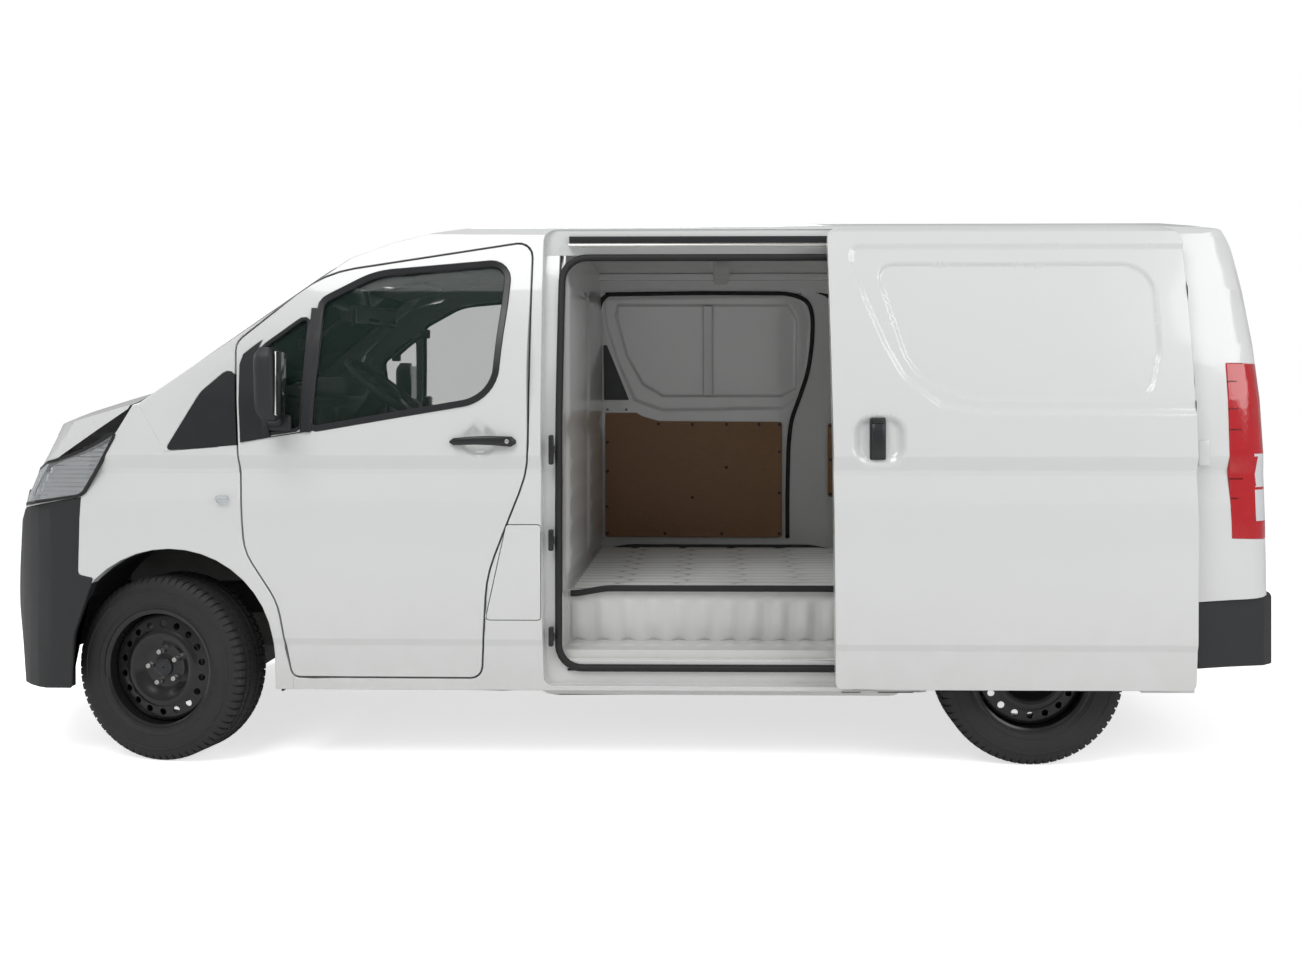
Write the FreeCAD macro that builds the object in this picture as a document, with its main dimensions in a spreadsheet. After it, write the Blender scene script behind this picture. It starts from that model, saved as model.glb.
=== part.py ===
import FreeCAD, Part
import math
import os
import re
from FreeCAD import Placement, Rotation, Vector

# A semi-bonnet panel van with a low roof, standing on its wheels with the left sliding door open.
# Frame: +X forward, +Y left, +Z up, in millimetres, origin on the ground under the middle of the body.

# Driving dimensions
SIZES = {
    "body_length": 5070,
    "body_width": 1950,
    "roof_height": 2050,
    "wheelbase": 3205,
    "front_overhang": 880,
    "wall": 65,
    "gap": 7,
    "glass": 5,
    "tyre_radius": 343,
    "tyre_width": 215,
    "tyre_bore": 203,
    "rim_wall": 9,
    "hub_radius": 30,
    "hub_clearance": 0.05,
    "track_half": 826,
    "kingpin_offset": 90,
    "kingpin_radius": 14,
    "steer_rest": 12,
    "waist": 1145,
    "eaves": 1960,
    "tumblehome": 164,
    "sill_bottom": 276,
    "cavity_half": 905,
    "load_floor": 612,
    "floor_plate": 40,
    "cab_floor": 560,
    "step_floor": 412,
    "step_inner": 690,
    "bulkhead_at": 1450,
    "bulkhead_plate": 20,
    "rail_middle": 430,
    "rail_width": 70,
    "rail_bottom": 452,
    "roof_half": 770,
    "slide_back": 1060,
    "slide_out": 76,
    "door_top": 1945,
    "nose_radius": 1600,
    "nose_corner": 489,
    "screen_radius": 2400,
    "screen_base_x": 162,
    "screen_base_z": 1425,
    "screen_run": 620,
    "screen_rise": 460,
    "arch_radius": 392,
    "mirror_reach": 1112,
    "axle_tube": 40,
    "spring_middle": 515,
    "spring_width": 60,
    "tow_hole": 6.5,
    "lashing_hole": 5.5,
    "tail_corner": 95,
    "nose_split": 700,
}

doc = FreeCAD.newDocument("PanelVan")
sheet = doc.addObject("Spreadsheet::Sheet", "Sizes")
for row, (alias, number) in enumerate(SIZES.items(), start=1):
    sheet.set("A%d" % row, alias)
    sheet.set("B%d" % row, str(number))
    sheet.setAlias("B%d" % row, alias)
doc.recompute()

PARTS = []


def size(alias):
    """A driving dimension as a plain number."""
    return float(sheet.get(alias))


FRONT_AXLE = size("body_length") / 2 - size("front_overhang")
TAIL = size("front_overhang") - size("body_length")
AXLE = "(body_length / 2 - front_overhang)"
REAR_AXLE = "(body_length / 2 - front_overhang - wheelbase)"


# Bound document objects
def qualified(text):
    """Point every alias in an expression at the sheet."""
    return re.sub(r"[a-z_]+", lambda word: "Sizes." + word[0] if word[0] in SIZES else word[0], str(text))


def bind(item, prop, text):
    item.setExpression(prop, qualified(text))


def block(name, x, y, z):
    """A box between low and high expressions along each axis."""
    item = doc.addObject("Part::Box", name)
    for prop, axis, (low, high) in zip(("Length", "Width", "Height"), "xyz", (x, y, z)):
        bind(item, prop, "(%s) - (%s)" % (high, low))
        bind(item, "Placement.Base." + axis, low)
    return item


def rod(name, radius, start, length, axis="Z"):
    """A cylinder from a start point along a row axis."""
    item = doc.addObject("Part::Cylinder", name)
    turns = {"X": (Vector(0, 1, 0), 90), "Y": (Vector(1, 0, 0), -90), "Z": (Vector(0, 0, 1), 0)}
    item.Placement = Placement(Vector(), Rotation(*turns[axis]))
    bind(item, "Radius", radius)
    bind(item, "Height", length)
    for letter, text in zip("xyz", start):
        bind(item, "Placement.Base." + letter, text)
    return item


def bar(name, sides, radius, start, length, axis):
    """A rod with flat sides."""
    item = doc.addObject("Part::Prism", name)
    turns = {"X": (Vector(0, 1, 0), 90), "Y": (Vector(1, 0, 0), -90)}
    item.Placement = Placement(Vector(), Rotation(*turns[axis]))
    item.Polygon = sides
    bind(item, "Circumradius", radius)
    bind(item, "Height", length)
    for letter, text in zip("xyz", start):
        bind(item, "Placement.Base." + letter, text)
    return item


def joined(name, items):
    item = doc.addObject("Part::MultiFuse", name)
    item.Shapes = items
    return item


def beside(name, items):
    """Solids that do not touch, kept as one sub-part."""
    item = doc.addObject("Part::Compound", name)
    item.Links = items
    return item


def mirrored(name, source):
    """The same piece on the other side of the van."""
    item = doc.addObject("Part::Mirroring", name)
    item.Source = source
    item.Normal = Vector(0, 1, 0)
    return item


def both_sides(name, source):
    return beside(name, [source, mirrored(name + "_other", source)])


def shaped(name, shape):
    item = doc.addObject("Part::Feature", name)
    item.Shape = shape
    return item


def sub_part(label, item):
    """Name an object as a sub-part to be written out."""
    item.Label = label
    PARTS.append(item)
    return item


# Outlines and prisms
def side_point(x, z, y=0.0):
    """A point given by its distance ahead of the front axle and its height."""
    return Vector(FRONT_AXLE + x, y, z)


def end_point(y, z):
    return Vector(0, y, z)


def outline(corners, place=side_point):
    """A closed outline: corners (a, b, radius) and the plane that they lie in."""
    return corners, place


def grown_corners(corners, grow):
    """The corners of a parallel outline further out, or further in below zero."""
    area = sum(a[0] * b[1] - b[0] * a[1] for a, b in zip(corners, corners[1:] + corners[:1]))
    turn = math.copysign(1.0, area)
    grown = []
    for index, (a, b, radius) in enumerate(corners):
        before, after = corners[index - 1], corners[(index + 1) % len(corners)]
        first = Vector(a - before[0], b - before[1]).normalize()
        second = Vector(after[0] - a, after[1] - b).normalize()
        bend = turn * first.cross(second).z
        across_both = Vector(first.y, -first.x) + Vector(second.y, -second.x)
        out = across_both * (turn * grow / (1 + first.dot(second)))
        rounder = radius + grow if bend > 0 else radius - grow
        grown.append((a + out.x, b + out.y, max(0.0, rounder) if radius else 0))
    return grown


def closed_wire(form, grow=0.0):
    """The wire of an outline, rounded by short flats that stay within 1.2 mm of each corner's arc."""
    if isinstance(form, Part.Wire):
        return form
    corners, place = form
    if grow:
        corners = grown_corners(corners, grow)
    spots = [place(a, b) for a, b, _ in corners]
    points = []
    for index, spot in enumerate(spots):
        radius = corners[index][2]
        if radius == 0:
            points.append(spot)
            continue
        back = (spots[index - 1] - spot).normalize()
        ahead = (spots[(index + 1) % len(spots)] - spot).normalize()
        half = math.acos(max(-1.0, min(1.0, back.dot(ahead)))) / 2
        reach = radius / math.tan(half)
        centre = spot + (back + ahead).normalize() * (radius / math.sin(half))
        start, end = spot + back * reach - centre, spot + ahead * reach - centre
        sweep = math.pi - 2 * half
        flats = math.ceil(sweep / (2 * math.acos(1 - 1.2 / max(radius, 4))))
        for step in range(flats + 1):
            share = step / flats
            near, far = math.sin((1 - share) * sweep), math.sin(share * sweep)
            points.append(centre + (start * near + end * far) * (1 / math.sin(sweep)))
    kept = [point for index, point in enumerate(points) if (point - points[index - 1]).Length > 0.01]
    return Part.makePolygon([*kept, kept[0]])


def across(form, low, high, grow=0.0):
    """A prism along Y between two stations, its outline grown all round."""
    face = Part.Face(closed_wire(form, grow))
    face.translate(Vector(0, low, 0))
    return face.extrude(Vector(0, high - low, 0))


def along(form, low, high, grow=0.0):
    """A prism along X between two distances from the front axle."""
    face = Part.Face(closed_wire(form, grow))
    face.translate(Vector(FRONT_AXLE + low, 0, 0))
    return face.extrude(Vector(high - low, 0, 0))


def slab(x, y, z):
    """A plain box cutter between low and high values, x from the front axle."""
    corner = Vector(FRONT_AXLE + x[0], y[0], z[0])
    return Part.makeBox(x[1] - x[0], y[1] - y[0], z[1] - z[0], corner)


def moved(shape, x=0.0, y=0.0, z=0.0):
    copy = shape.copy()
    copy.translate(Vector(x, y, z))
    return copy


def other_side(shape):
    return shape.mirror(Vector(), Vector(0, 1, 0))


# Outer form of the body, all in flat facets
def flat_face(corners):
    return Part.Face(Part.makePolygon([*corners, corners[0]]))


def patch(corners):
    """A flat quadrilateral, or two triangles where its corners are not in one plane."""
    a, b, c, d = corners
    normal = (b - a).cross(c - a)
    if abs(normal.dot(d - a)) < 1e-6 * normal.Length:
        return [flat_face(corners)]
    return [flat_face([a, b, c]), flat_face([a, c, d])]


def faceted(rings):
    """A solid with flat faces through closed rings that have the same number of corners."""
    faces = [flat_face(rings[0]), flat_face(rings[-1])]
    count = len(rings[0])
    for low, high in zip(rings, rings[1:]):
        for index in range(count):
            following = (index + 1) % count
            faces += patch([low[index], low[following], high[following], high[index]])
    solid = Part.Solid(Part.Shell(faces))
    if solid.Volume < 0:
        solid.reverse()
    return solid


def arc_offsets(radius, start, end, steps):
    """Points of an arc about the origin, in degrees from the X axis."""
    turns = [math.radians(start + (end - start) * step / steps) for step in range(steps + 1)]
    return [(radius * math.cos(turn), radius * math.sin(turn)) for turn in turns]


def side_levels():
    """Height, half width and tail position of each level of the body side."""
    half = size("body_width") / 2
    waist, eaves = size("waist"), size("eaves")
    levels = [(150, half - 31), (430, half - 7), (470, half - 6), (908, half)]
    levels += [(waist - 70, half - 12), (waist, half - 3)]
    for step in range(1, 6):
        width = half - 3 - size("tumblehome") * (step / 4) ** 1.55
        levels.append((waist + step * (eaves - waist) / 4, width))
    rows = []
    for z, width in levels:
        lean = 42 + 0.022 * z + 76 * (max(0.0, z - waist) / (eaves - waist)) ** 2
        rows.append((z, width, TAIL + lean))
    return rows


def level_ring(z, half, tail):
    """The plan of the body at one height, bowed at the tail and round at its rear corners."""
    corner = size("tail_corner")
    bow = [(150, 0), (420, 18), (640, 46)]
    slope = 0.19
    tilt = math.degrees(math.atan(slope))
    edge_y = half - corner * (1 - math.sin(math.radians(tilt)))
    edge_x = tail + bow[-1][1] + slope * (edge_y - bow[-1][0])
    centre_x = edge_x + corner * math.cos(math.radians(tilt))
    left = [(1200, half - 22), (-1300, half)]
    left += [(centre_x - x, half - corner + y) for x, y in arc_offsets(corner, 90, tilt, 4)]
    left += [(tail + x, y) for y, x in reversed(bow)]
    ring = left + [(x, -y) for x, y in reversed(left)]
    return [side_point(x, z, y) for x, y in ring]


def side_form():
    return faceted([level_ring(*row) for row in side_levels()])


def roof_form():
    """Everything under the crowned roof and its rear edge."""
    top = size("roof_height")
    crown = [(180, 2), (470, 11), (715, 26), (768, 46), (804, 77), (825, 118), (838, 170)]
    half = [(y, top - drop) for y, drop in crown] + [(1100, top - 180), (1100, 100)]
    ring = [end_point(-y, z) for y, z in reversed(half)] + [end_point(y, z) for y, z in half]
    lengthwise = along(Part.makePolygon([*ring, ring[0]]), -4400, 1200)
    slope = [(1200, -30), (-3088, -2), (-3350, 3), (-3548, 10), (-3720, 23), (-3848, 40), (-3920, 55)]
    slope += [(-3973, 76), (-4015, 110), (-4043, 170), (-4300, 175)]
    rear = [side_point(x, top - drop) for x, drop in slope] + [side_point(-4300, 100), side_point(1200, 100)]
    return lengthwise.common(across(Part.makePolygon([*rear, rear[0]]), -1100, 1100))


def screen_form(back=0.0):
    """Everything behind the bowed windscreen and under the front of the roof."""
    radius = size("screen_radius")
    base, run, rise = size("screen_base_z"), size("screen_run"), size("screen_rise")
    top = size("roof_height")
    slope = run / rise
    axis_x = size("screen_base_x") - radius
    header = base + rise
    brow = [(900, radius + slope * (base - 900)), (header, radius - run), (top - 107, radius - run - 140)]
    brow += [(top - 65, radius - run - 290), (top - 27, radius - run - 520), (top - 8, radius - run - 790)]
    brow += [(top + 14, 400)]
    rings = []
    for z, reach in [(100, brow[0][1])] + brow:
        bow = arc_offsets(reach, -93, 93, 31)
        rings.append([side_point(axis_x + x, z, y) for x, y in bow])
    front = faceted(rings)
    rear = slab((-4400, axis_x + 20), (-1100, 1100), (100, top + 14))
    return moved(front.fuse(rear), -back)


def nose_form():
    """The rounded nose: an upright plan, leant back by cones about the centre of its bow."""
    big, small, split = size("nose_radius"), size("nose_corner"), size("nose_split")
    half, tip = size("body_width") / 2, size("front_overhang")
    swing = math.degrees(math.asin(split / big))
    edge = tip - big + math.sqrt(big ** 2 - split ** 2)
    centre = (edge - small * math.cos(math.radians(swing)), half - small)
    left = [(edge + 700 * math.tan(math.radians(swing)), 0)]
    left += [(centre[0] + x, centre[1] + y) for x, y in arc_offsets(small, swing, 90, 7)] + [(-520, half)]
    ring = left + [(x, -y) for x, y in reversed(left[1:])]
    upright = faceted([[side_point(x, z, y) for x, y in ring] for z in (150, 1500)])
    lean = [(150, 35), (600, 0), (880, 12), (975, 34), (1068, 74), (1205, 150), (1500, 300)]
    rings = []
    for z, drop in lean:
        bow = arc_offsets((big - drop) / math.cos(math.radians(3)), -63, 63, 21)
        rings.append([side_point(tip - big + x, z, y) for x, y in bow] + [
            side_point(-900, z, 1500), side_point(-900, z, -1500)])
    return upright.common(faceted(rings))


def nose_hollow():
    """The engine bay behind the nose, flat sided."""
    tip, half = size("front_overhang") - 50, size("cavity_half")
    bow = [(-700, -half), (300, -half), (570, -820), (700, -600), (tip - 45, -330)]
    ring = bow + [(x, -y) for x, y in reversed(bow)]
    bay = faceted([[side_point(x, z, y) for x, y in ring] for z in (100, 1600)])
    top = [(-700, 100), (tip, 100), (tip, 880), (tip - 30, 980), (tip - 85, 1068), (tip - 180, 1180)]
    top += [(530, 1250), (340, 1325), (130, 1380), (-700, 1500)]
    slope = [side_point(x, z) for x, z in top]
    return bay.common(across(Part.makePolygon([*slope, slope[0]]), -1000, 1000)).common(bonnet_form(30))


def bonnet_form(drop=0.0):
    """Everything under the crowned bonnet: its side profile swung about a low lengthwise axis."""
    depth = 3000.0
    profile = [
        (-520, 1560), (162, 1425), (350, 1370), (470, 1328), (566, 1288), (638, 1247), (704, 1197),
        (758, 1140), (800, 1082), (834, 1025), (858, 975), (884, 880),
    ]
    rings = []
    for x, z in profile:
        bow = arc_offsets(depth + z - drop, 76, 104, 7)
        rings.append([side_point(x, up - depth, y) for y, up in bow] + [
            side_point(x, -200, -1200), side_point(x, -200, 1200)])
    return faceted(rings)


def cavity_section(inset=0.0):
    """The left half of the hollow's cross section, from the floor up."""
    half = size("cavity_half")
    rows = [(half, 100), (half, size("waist")), (868, 1500), (790, 1860), (730, size("roof_height") - 80)]
    return [(y - inset, z) for y, z in rows]


def cavity_form():
    """The hollow inside the cab and the load space, flat sided."""
    half, wall, top = size("cavity_half"), size("wall"), size("roof_height")
    section = cavity_section()
    ring = [end_point(y, z) for y, z in section] + [end_point(0, top - 38)]
    ring += [end_point(-y, z) for y, z in reversed(section)]
    lengthwise = along(Part.makePolygon([*ring, ring[0]]), -4300, 1000)
    rear = [(TAIL + 112, 100), (TAIL + 122, size("waist")), (TAIL + 148, 1520), (TAIL + 210, 1850)]
    rear += [(TAIL + 330, top - 72), (TAIL + 560, top - 30), (-1500, top - 30)]
    rear += [(-1300, top - 42), (-800, top - 100), (600, top - 500), (600, 100)]
    ends = [side_point(x, z) for x, z in rear]
    sidewise = across(Part.makePolygon([*ends, ends[0]]), -1000, 1000)
    bow = [(600, -1000), (TAIL + 500, -1000), (TAIL + 205, half * -1), (TAIL + 130, -500)]
    plan = bow + [(x, -y) for x, y in reversed(bow)]
    upright = faceted([[side_point(x, z, y) for x, y in plan] for z in (0, 2200)])
    return lengthwise.common(sidewise).common(upright).common(screen_form(wall))


# Shut lines, as corners (x from the front axle, height, corner radius)
def door_outline():
    return outline([
        (-478, 325, 30), (-428, 600, 260), (-305, 790, 200), (-252, 1560, 60),
        (-560, 1822, 420), (-1346, size("door_top"), 50), (-1348, 1090, 500),
        (-1196, 700, 500), (-1176, 325, 40),
    ])


def slide_outline():
    return outline([(-1414, 300, 25), (-1396, 1990, 40), (-2708, 1990, 60), (-2708, 300, 25)])


def flap_outline():
    return outline([(-1273, 888, 10), (-1398, 888, 10), (-1398, 540, 10), (-1196, 540, 10)])


def main_glass_outline():
    return outline([
        (-540, 1238, 25), (-562, 1716, 40), (-760, 1822, 300), (-1262, 1866, 60), (-1228, 1236, 110),
    ])


def quarter_glass_outline():
    return outline([(-372, 1216, 20), (-342, 1540, 40), (-528, 1682, 25), (-512, 1236, 25)])


def tail_lamp_outline():
    return outline([
        (-3900, 1482, 0), (-4200, 1482, 0), (-4200, 838, 0), (-3904, 838, 0), (-3898, 1092, 0),
    ])


def rear_bumper_outline():
    return outline([
        (-3790, 576, 0), (-3909, 595, 0), (-4053, 631, 0), (TAIL + 50, 631, 0), (TAIL, 600, 0),
        (TAIL, 470, 0), (TAIL + 45, 385, 0), (-3793, 360, 0),
    ])


def trim_outline():
    return outline([(-296, 1180, 8), (-250, 1484, 30), (-130, 1378, 60), (-3, 1160, 12)])


def lamp_outline():
    return outline([(188, 1222, 20), (310, 989, 12), (480, 962, 12), (468, 1014, 15), (399, 1144, 80)])


def bonnet_outline():
    return outline([
        (60, 1352, 5), (121, 1345, 5), (188, 1228, 30), (324, 1150, 60), (480, 1000, 60),
        (900, 985, 5), (900, 1600, 5), (-60, 1600, 5),
    ])


def bumper_outline():
    return outline([
        (310, 989, 5), (900, 892, 5), (900, 200, 5), (352, 262, 30), (335, 480, 120),
        (262, 688, 5), (319, 701, 15),
    ])


def arch_wire(axle, radius):
    """A wheel arch: a round top with sides that run straight down."""
    height, low = 405, 100
    top = [side_point(axle + x, height + z) for x, z in arc_offsets(radius, 180, 0, 20)]
    return Part.makePolygon([side_point(axle - radius, low), *top, side_point(axle + radius, low),
                             side_point(axle - radius, low)])


SIDE = side_form()
ROOF = roof_form()
CABIN = SIDE.common(ROOF).common(screen_form())
CAVITY = cavity_form()
SHELL = CABIN.cut(CAVITY)
LOW_CUT = slab((-5000, 2000), (-1200, 1200), (0, size("sill_bottom")))
HALF = size("cavity_half")
GAP = size("gap")
WALL_LOW = size("roof_half")
GLASS_DEPTH = 12.0
BEYOND = size("body_width")
BAND = 35.0
WELL_END = -2728.0

NOSE = SIDE.common(nose_form()).common(bonnet_form())
NOSE_HOLLOW = nose_hollow()
NOSE_SHELL = NOSE.cut(NOSE_HOLLOW).cut(LOW_CUT)

DOOR = door_outline()
SLIDE = slide_outline()
REAR_FROM_AXLE = -size("wheelbase")


# Frames that the doors close against
def hollow(inset):
    """The room inside the walls, narrowed on each side."""
    ring = [end_point(y, z) for y, z in cavity_section(inset)]
    ring += [end_point(-y, z) for y, z in reversed(cavity_section(inset))]
    return along(Part.makePolygon([*ring, ring[0]]), -4000, 200)


def band(wire, grow, shrink, near):
    """A flange round an opening, from a depth inside the wall to the full depth of the frame."""
    frame = across(wire, 600, BEYOND, grow).cut(across(wire, 500, BEYOND, shrink))
    return frame.common(hollow(near)).cut(hollow(BAND)).common(CAVITY)


def door_frame():
    """The flange round the front door, set back where the door draws rearward as it opens."""
    return band(DOOR, 40, GAP, 0).fuse(band(DOOR, GAP + 1, -40, 6).common(moved(CAVITY, -48)))


DOOR_FRAME = door_frame()
SLIDE_FRAME = band(SLIDE, 50, -50, 0)
SEAL = band(SLIDE, -50, -64, 0)


# Glazed openings in the front
def screen_outline():
    base = size("screen_base_z")
    return outline([(-800, base + 8, 60), (-655, base + 440, 80), (655, base + 440, 80), (800, base + 8, 60)],
                   end_point)


def tailgate_outline():
    return outline([(-800, 640, 50), (-790, 1240, 300), (-700, 2100, 30), (700, 2100, 30), (790, 1240, 300),
                    (800, 640, 50)], end_point)


def tail_glass_outline():
    return outline([(-670, 1260, 60), (-600, 1800, 70), (600, 1800, 70), (670, 1260, 60)], end_point)


SCREEN = along(screen_outline(), -1000, 700)
SCREEN_ZONE = slab((-700, 400), (-900, 900), (1400, 1900))
HATCH_X = -3990
HATCH = along(tailgate_outline(), -4400, HATCH_X - GAP)
HATCH_HOLE = along(tailgate_outline(), -4400, HATCH_X, GAP)
ROOF_BOX = slab((HATCH_X, 300), (-WALL_LOW, WALL_LOW), (1880, 2200))


# Body panels
def windscreen():
    return CABIN.common(SCREEN).common(SCREEN_ZONE).cut(screen_form(1.7 * size("glass")))


def roof_panel():
    panel = SHELL.common(ROOF_BOX).cut(SCREEN)
    return panel.cut(across(DOOR, -BEYOND, BEYOND, GAP))


def inner_sill():
    return slab((-2708, -440), (HALF - BAND, HALF), (size("sill_bottom"), size("step_floor") - 32))


def body_side():
    """Pillars, cant rail, sill and rear quarter of the left side."""
    zone = outline([
        (-478, 260, 1), (-478, 330, 1), (-200, 1180, 1), (-3, 1157, 1), (109, 1345, 1), (30, 1460, 1),
        (-900, 2200, 5), (-4400, 2200, 5), (-4400, 200, 5),
    ])
    side = SHELL.common(across(zone, 0, BEYOND)).cut(LOW_CUT).cut(ROOF_BOX)
    side = side.cut(SCREEN).cut(HATCH_HOLE)
    side = side.cut(slab((-1000, 400), (-650, 650), (1300, 2200)))
    side = side.cut(slab((-4400, -3800), (0, 790), (0, 700)))
    side = side.cut(across(DOOR, 0, BEYOND, GAP)).cut(across(SLIDE, WALL_LOW, BEYOND, GAP))
    side = side.cut(across(trim_outline(), HALF - 70, BEYOND))
    side = side.cut(across(arch_wire(REAR_FROM_AXLE, size("arch_radius")), 0, BEYOND))
    side = side.cut(across(flap_outline(), size("body_width") / 2 - 34, BEYOND, 3))
    side = side.cut(across(tail_lamp_outline(), WALL_LOW, BEYOND)).cut(bumper_zone())
    side = side.cut(wing_region())
    side = side.fuse([inner_sill(), DOOR_FRAME, SLIDE_FRAME])
    return side.removeSplitter()


def bumper_zone():
    """Everything under the rear bumper's upper edge."""
    zone = outline([
        (-3790, 200, 0), (-3790, 576, 0), (-3909, 595, 0), (-4053, 631, 0), (-4400, 631, 0), (-4400, 200, 0),
    ])
    return across(zone, -BEYOND, BEYOND)


def wing_region():
    """Where the front wing lies, from the door's shut line to the nose."""
    zone = outline([
        (-478, 200, 1), (-478, 330, 1), (-480, 500, 1), (-300, 1180, 1), (-3, 1157, 1), (109, 1345, 1),
        (300, 1345, 1), (1000, 1100, 1), (1000, 200, 1),
    ])
    return across(zone, 0, BEYOND)


def front_wing():
    wing = NOSE_SHELL.common(wing_region())
    wing = wing.cut(across(DOOR, 0, BEYOND, GAP)).cut(across(bonnet_outline(), 0, BEYOND, GAP))
    wing = wing.cut(across(lamp_outline(), 0, BEYOND)).cut(across(bumper_outline(), 0, BEYOND))
    wing = wing.cut(across(arch_wire(-20, size("arch_radius")), 0, BEYOND))
    wing = wing.cut(slab((-600, 900), (0, 600), (0, 1500)))
    return wing


def front_panel():
    """The body-coloured panel around the grille."""
    panel = NOSE_SHELL.cut(across(bonnet_outline(), -BEYOND, BEYOND, GAP))
    panel = panel.cut(across(bumper_outline(), -BEYOND, BEYOND))
    panel = panel.common(slab((500, 1000), (-600, 600), (800, 1100)))
    return panel.cut(across(lamp_outline(), -BEYOND, BEYOND)).cut(slab((500, 1000), (-400, 400), (905, 975)))


def front_bumper():
    bumper = NOSE_SHELL.common(across(bumper_outline(), -BEYOND, BEYOND))
    bumper = bumper.cut(across(lamp_outline(), -BEYOND, BEYOND))
    mouth = outline([(-520, 430, 25), (-480, 560, 25), (480, 560, 25), (520, 430, 25)], end_point)
    return bumper.cut(along(mouth, 500, 1000)).cut(across(arch_wire(0, 360), -930, 930))


def headlamps():
    lamp = NOSE_SHELL.common(across(lamp_outline(), -BEYOND, BEYOND))
    lamp = lamp.cut(across(bonnet_outline(), -BEYOND, BEYOND, GAP))
    return lamp.cut(slab((0, 1000), (-440, 440), (0, 2000)))


def bonnet():
    lid = NOSE.cut(NOSE_HOLLOW).common(across(bonnet_outline(), -BEYOND, BEYOND))
    return lid.cut(screen_form(-GAP - 3))


def front_door():
    door = SHELL.common(across(DOOR, 0, BEYOND))
    for glass in (main_glass_outline(), quarter_glass_outline()):
        door = door.cut(across(glass, 0, BEYOND))
    return door


def door_glass():
    panes = []
    for glass in (main_glass_outline(), quarter_glass_outline()):
        outer = moved(CABIN, 0, -GLASS_DEPTH).common(across(glass, 600, BEYOND))
        inner = moved(CABIN, 0, -GLASS_DEPTH - size("glass")).common(across(glass, 500, BEYOND, 20))
        panes += outer.cut(inner).Solids
    return Part.makeCompound(panes)


def sliding_door():
    return SHELL.common(across(SLIDE, WALL_LOW, BEYOND))


def tailgate():
    gate = SHELL.common(HATCH)
    return gate.cut(along(tail_glass_outline(), -4400, HATCH_X))


def tailgate_glass():
    outer = moved(CABIN, GLASS_DEPTH).common(along(tail_glass_outline(), -4400, -3900))
    inner = moved(CABIN, GLASS_DEPTH + size("glass")).common(along(tail_glass_outline(), -4400, -3800, 20))
    return outer.cut(inner)


def fuel_flap():
    outer = CABIN.common(across(flap_outline(), 800, BEYOND))
    return outer.cut(moved(CABIN, 0, -14).common(across(flap_outline(), 700, BEYOND, 20)))


def solids(shape, smallest=60000.0):
    kept = [solid for solid in shape.Solids if solid.Volume > smallest]
    return kept[0] if len(kept) == 1 else Part.makeCompound(kept)


SKINS = {
    "windscreen": windscreen(),
    "roof_panel": roof_panel(),
    "body_side_left": body_side(),
    "front_panel": front_panel(),
    "front_bumper": front_bumper(),
    "headlamps": headlamps(),
    "bonnet": bonnet(),
    "front_door_left": front_door(),
    "door_glass_left": door_glass(),
    "tailgate": tailgate(),
    "tailgate_glass": tailgate_glass(),
    "fuel_flap": fuel_flap(),
}
for label, shape in SKINS.items():
    sub_part(label, shaped(label, solids(shape)))

for piece in PARTS[:]:
    if piece.Label.endswith("_left"):
        label = piece.Label.replace("_left", "_right")
        sub_part(label, mirrored(label, piece))

open_door = sub_part("sliding_door_left", shaped("sliding_door_left", solids(sliding_door())))
open_door.Placement.Base = Vector(-size("slide_back"), size("slide_out"), 0)
sub_part("sliding_door_right", shaped("sliding_door_right", solids(other_side(sliding_door()))))


# Body pieces behind and between the panels
def cowl():
    """The scuttle under the windscreen."""
    strip = CABIN.cut(screen_form(40)).common(slab((-200, 300), (-650, 650), (1300, 1433)))
    return strip.cut(SCREEN).cut(wing_region()).cut(other_side(wing_region()))


def rear_panel():
    """The body panel below the tailgate."""
    return SHELL.common(slab((-4400, -3900), (-790, 790), (430, 640 - GAP)))


def quarter_trim():
    """The black panel between the wing, the windscreen pillar and the door."""
    trim = SHELL.common(across(trim_outline(), HALF - 70, BEYOND))
    return trim.cut(across(DOOR, 0, BEYOND, GAP))


def bulkhead():
    """The wall between the cab and the load space."""
    at, plate = size("bulkhead_at"), size("bulkhead_plate")
    wall = CAVITY.common(slab((-at - plate, -at), (-HALF, HALF), (size("cab_floor"), 2100)))
    for frame in (DOOR_FRAME, SLIDE_FRAME, SEAL):
        wall = wall.cut(frame).cut(other_side(frame))
    return wall


def tail_lamp():
    return SHELL.common(across(tail_lamp_outline(), WALL_LOW, BEYOND)).cut(HATCH_HOLE)


def grille():
    """The black panel between the lamps, open between its bars."""
    panel = NOSE_SHELL.common(slab((500, 1000), (-400, 400), (905, 975)))
    for z in (918, 936, 954):
        panel = panel.cut(slab((500, 1000), (-380, 380), (z, z + 8)))
    return panel.cut(across(bumper_outline(), -BEYOND, BEYOND))


def rear_bumper():
    """A bumper bowed like the tail, round at its corners."""
    bow = [(0, 0), (300, 11), (600, 44), (860, 88)]
    left = [(TAIL + x, y) for y, x in bow] + [(TAIL + 112, 925), (TAIL + 150, 950), (TAIL + 400, 966)]
    ring = left + [(x, -y) for x, y in reversed(left[1:])]
    plan = faceted([[side_point(x, z, y) for x, y in ring] for z in (300, 700)])
    bumper = across(rear_bumper_outline(), -BEYOND, BEYOND).common(plan)
    return bumper.cut(CAVITY).cut(rear_panel())


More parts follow.
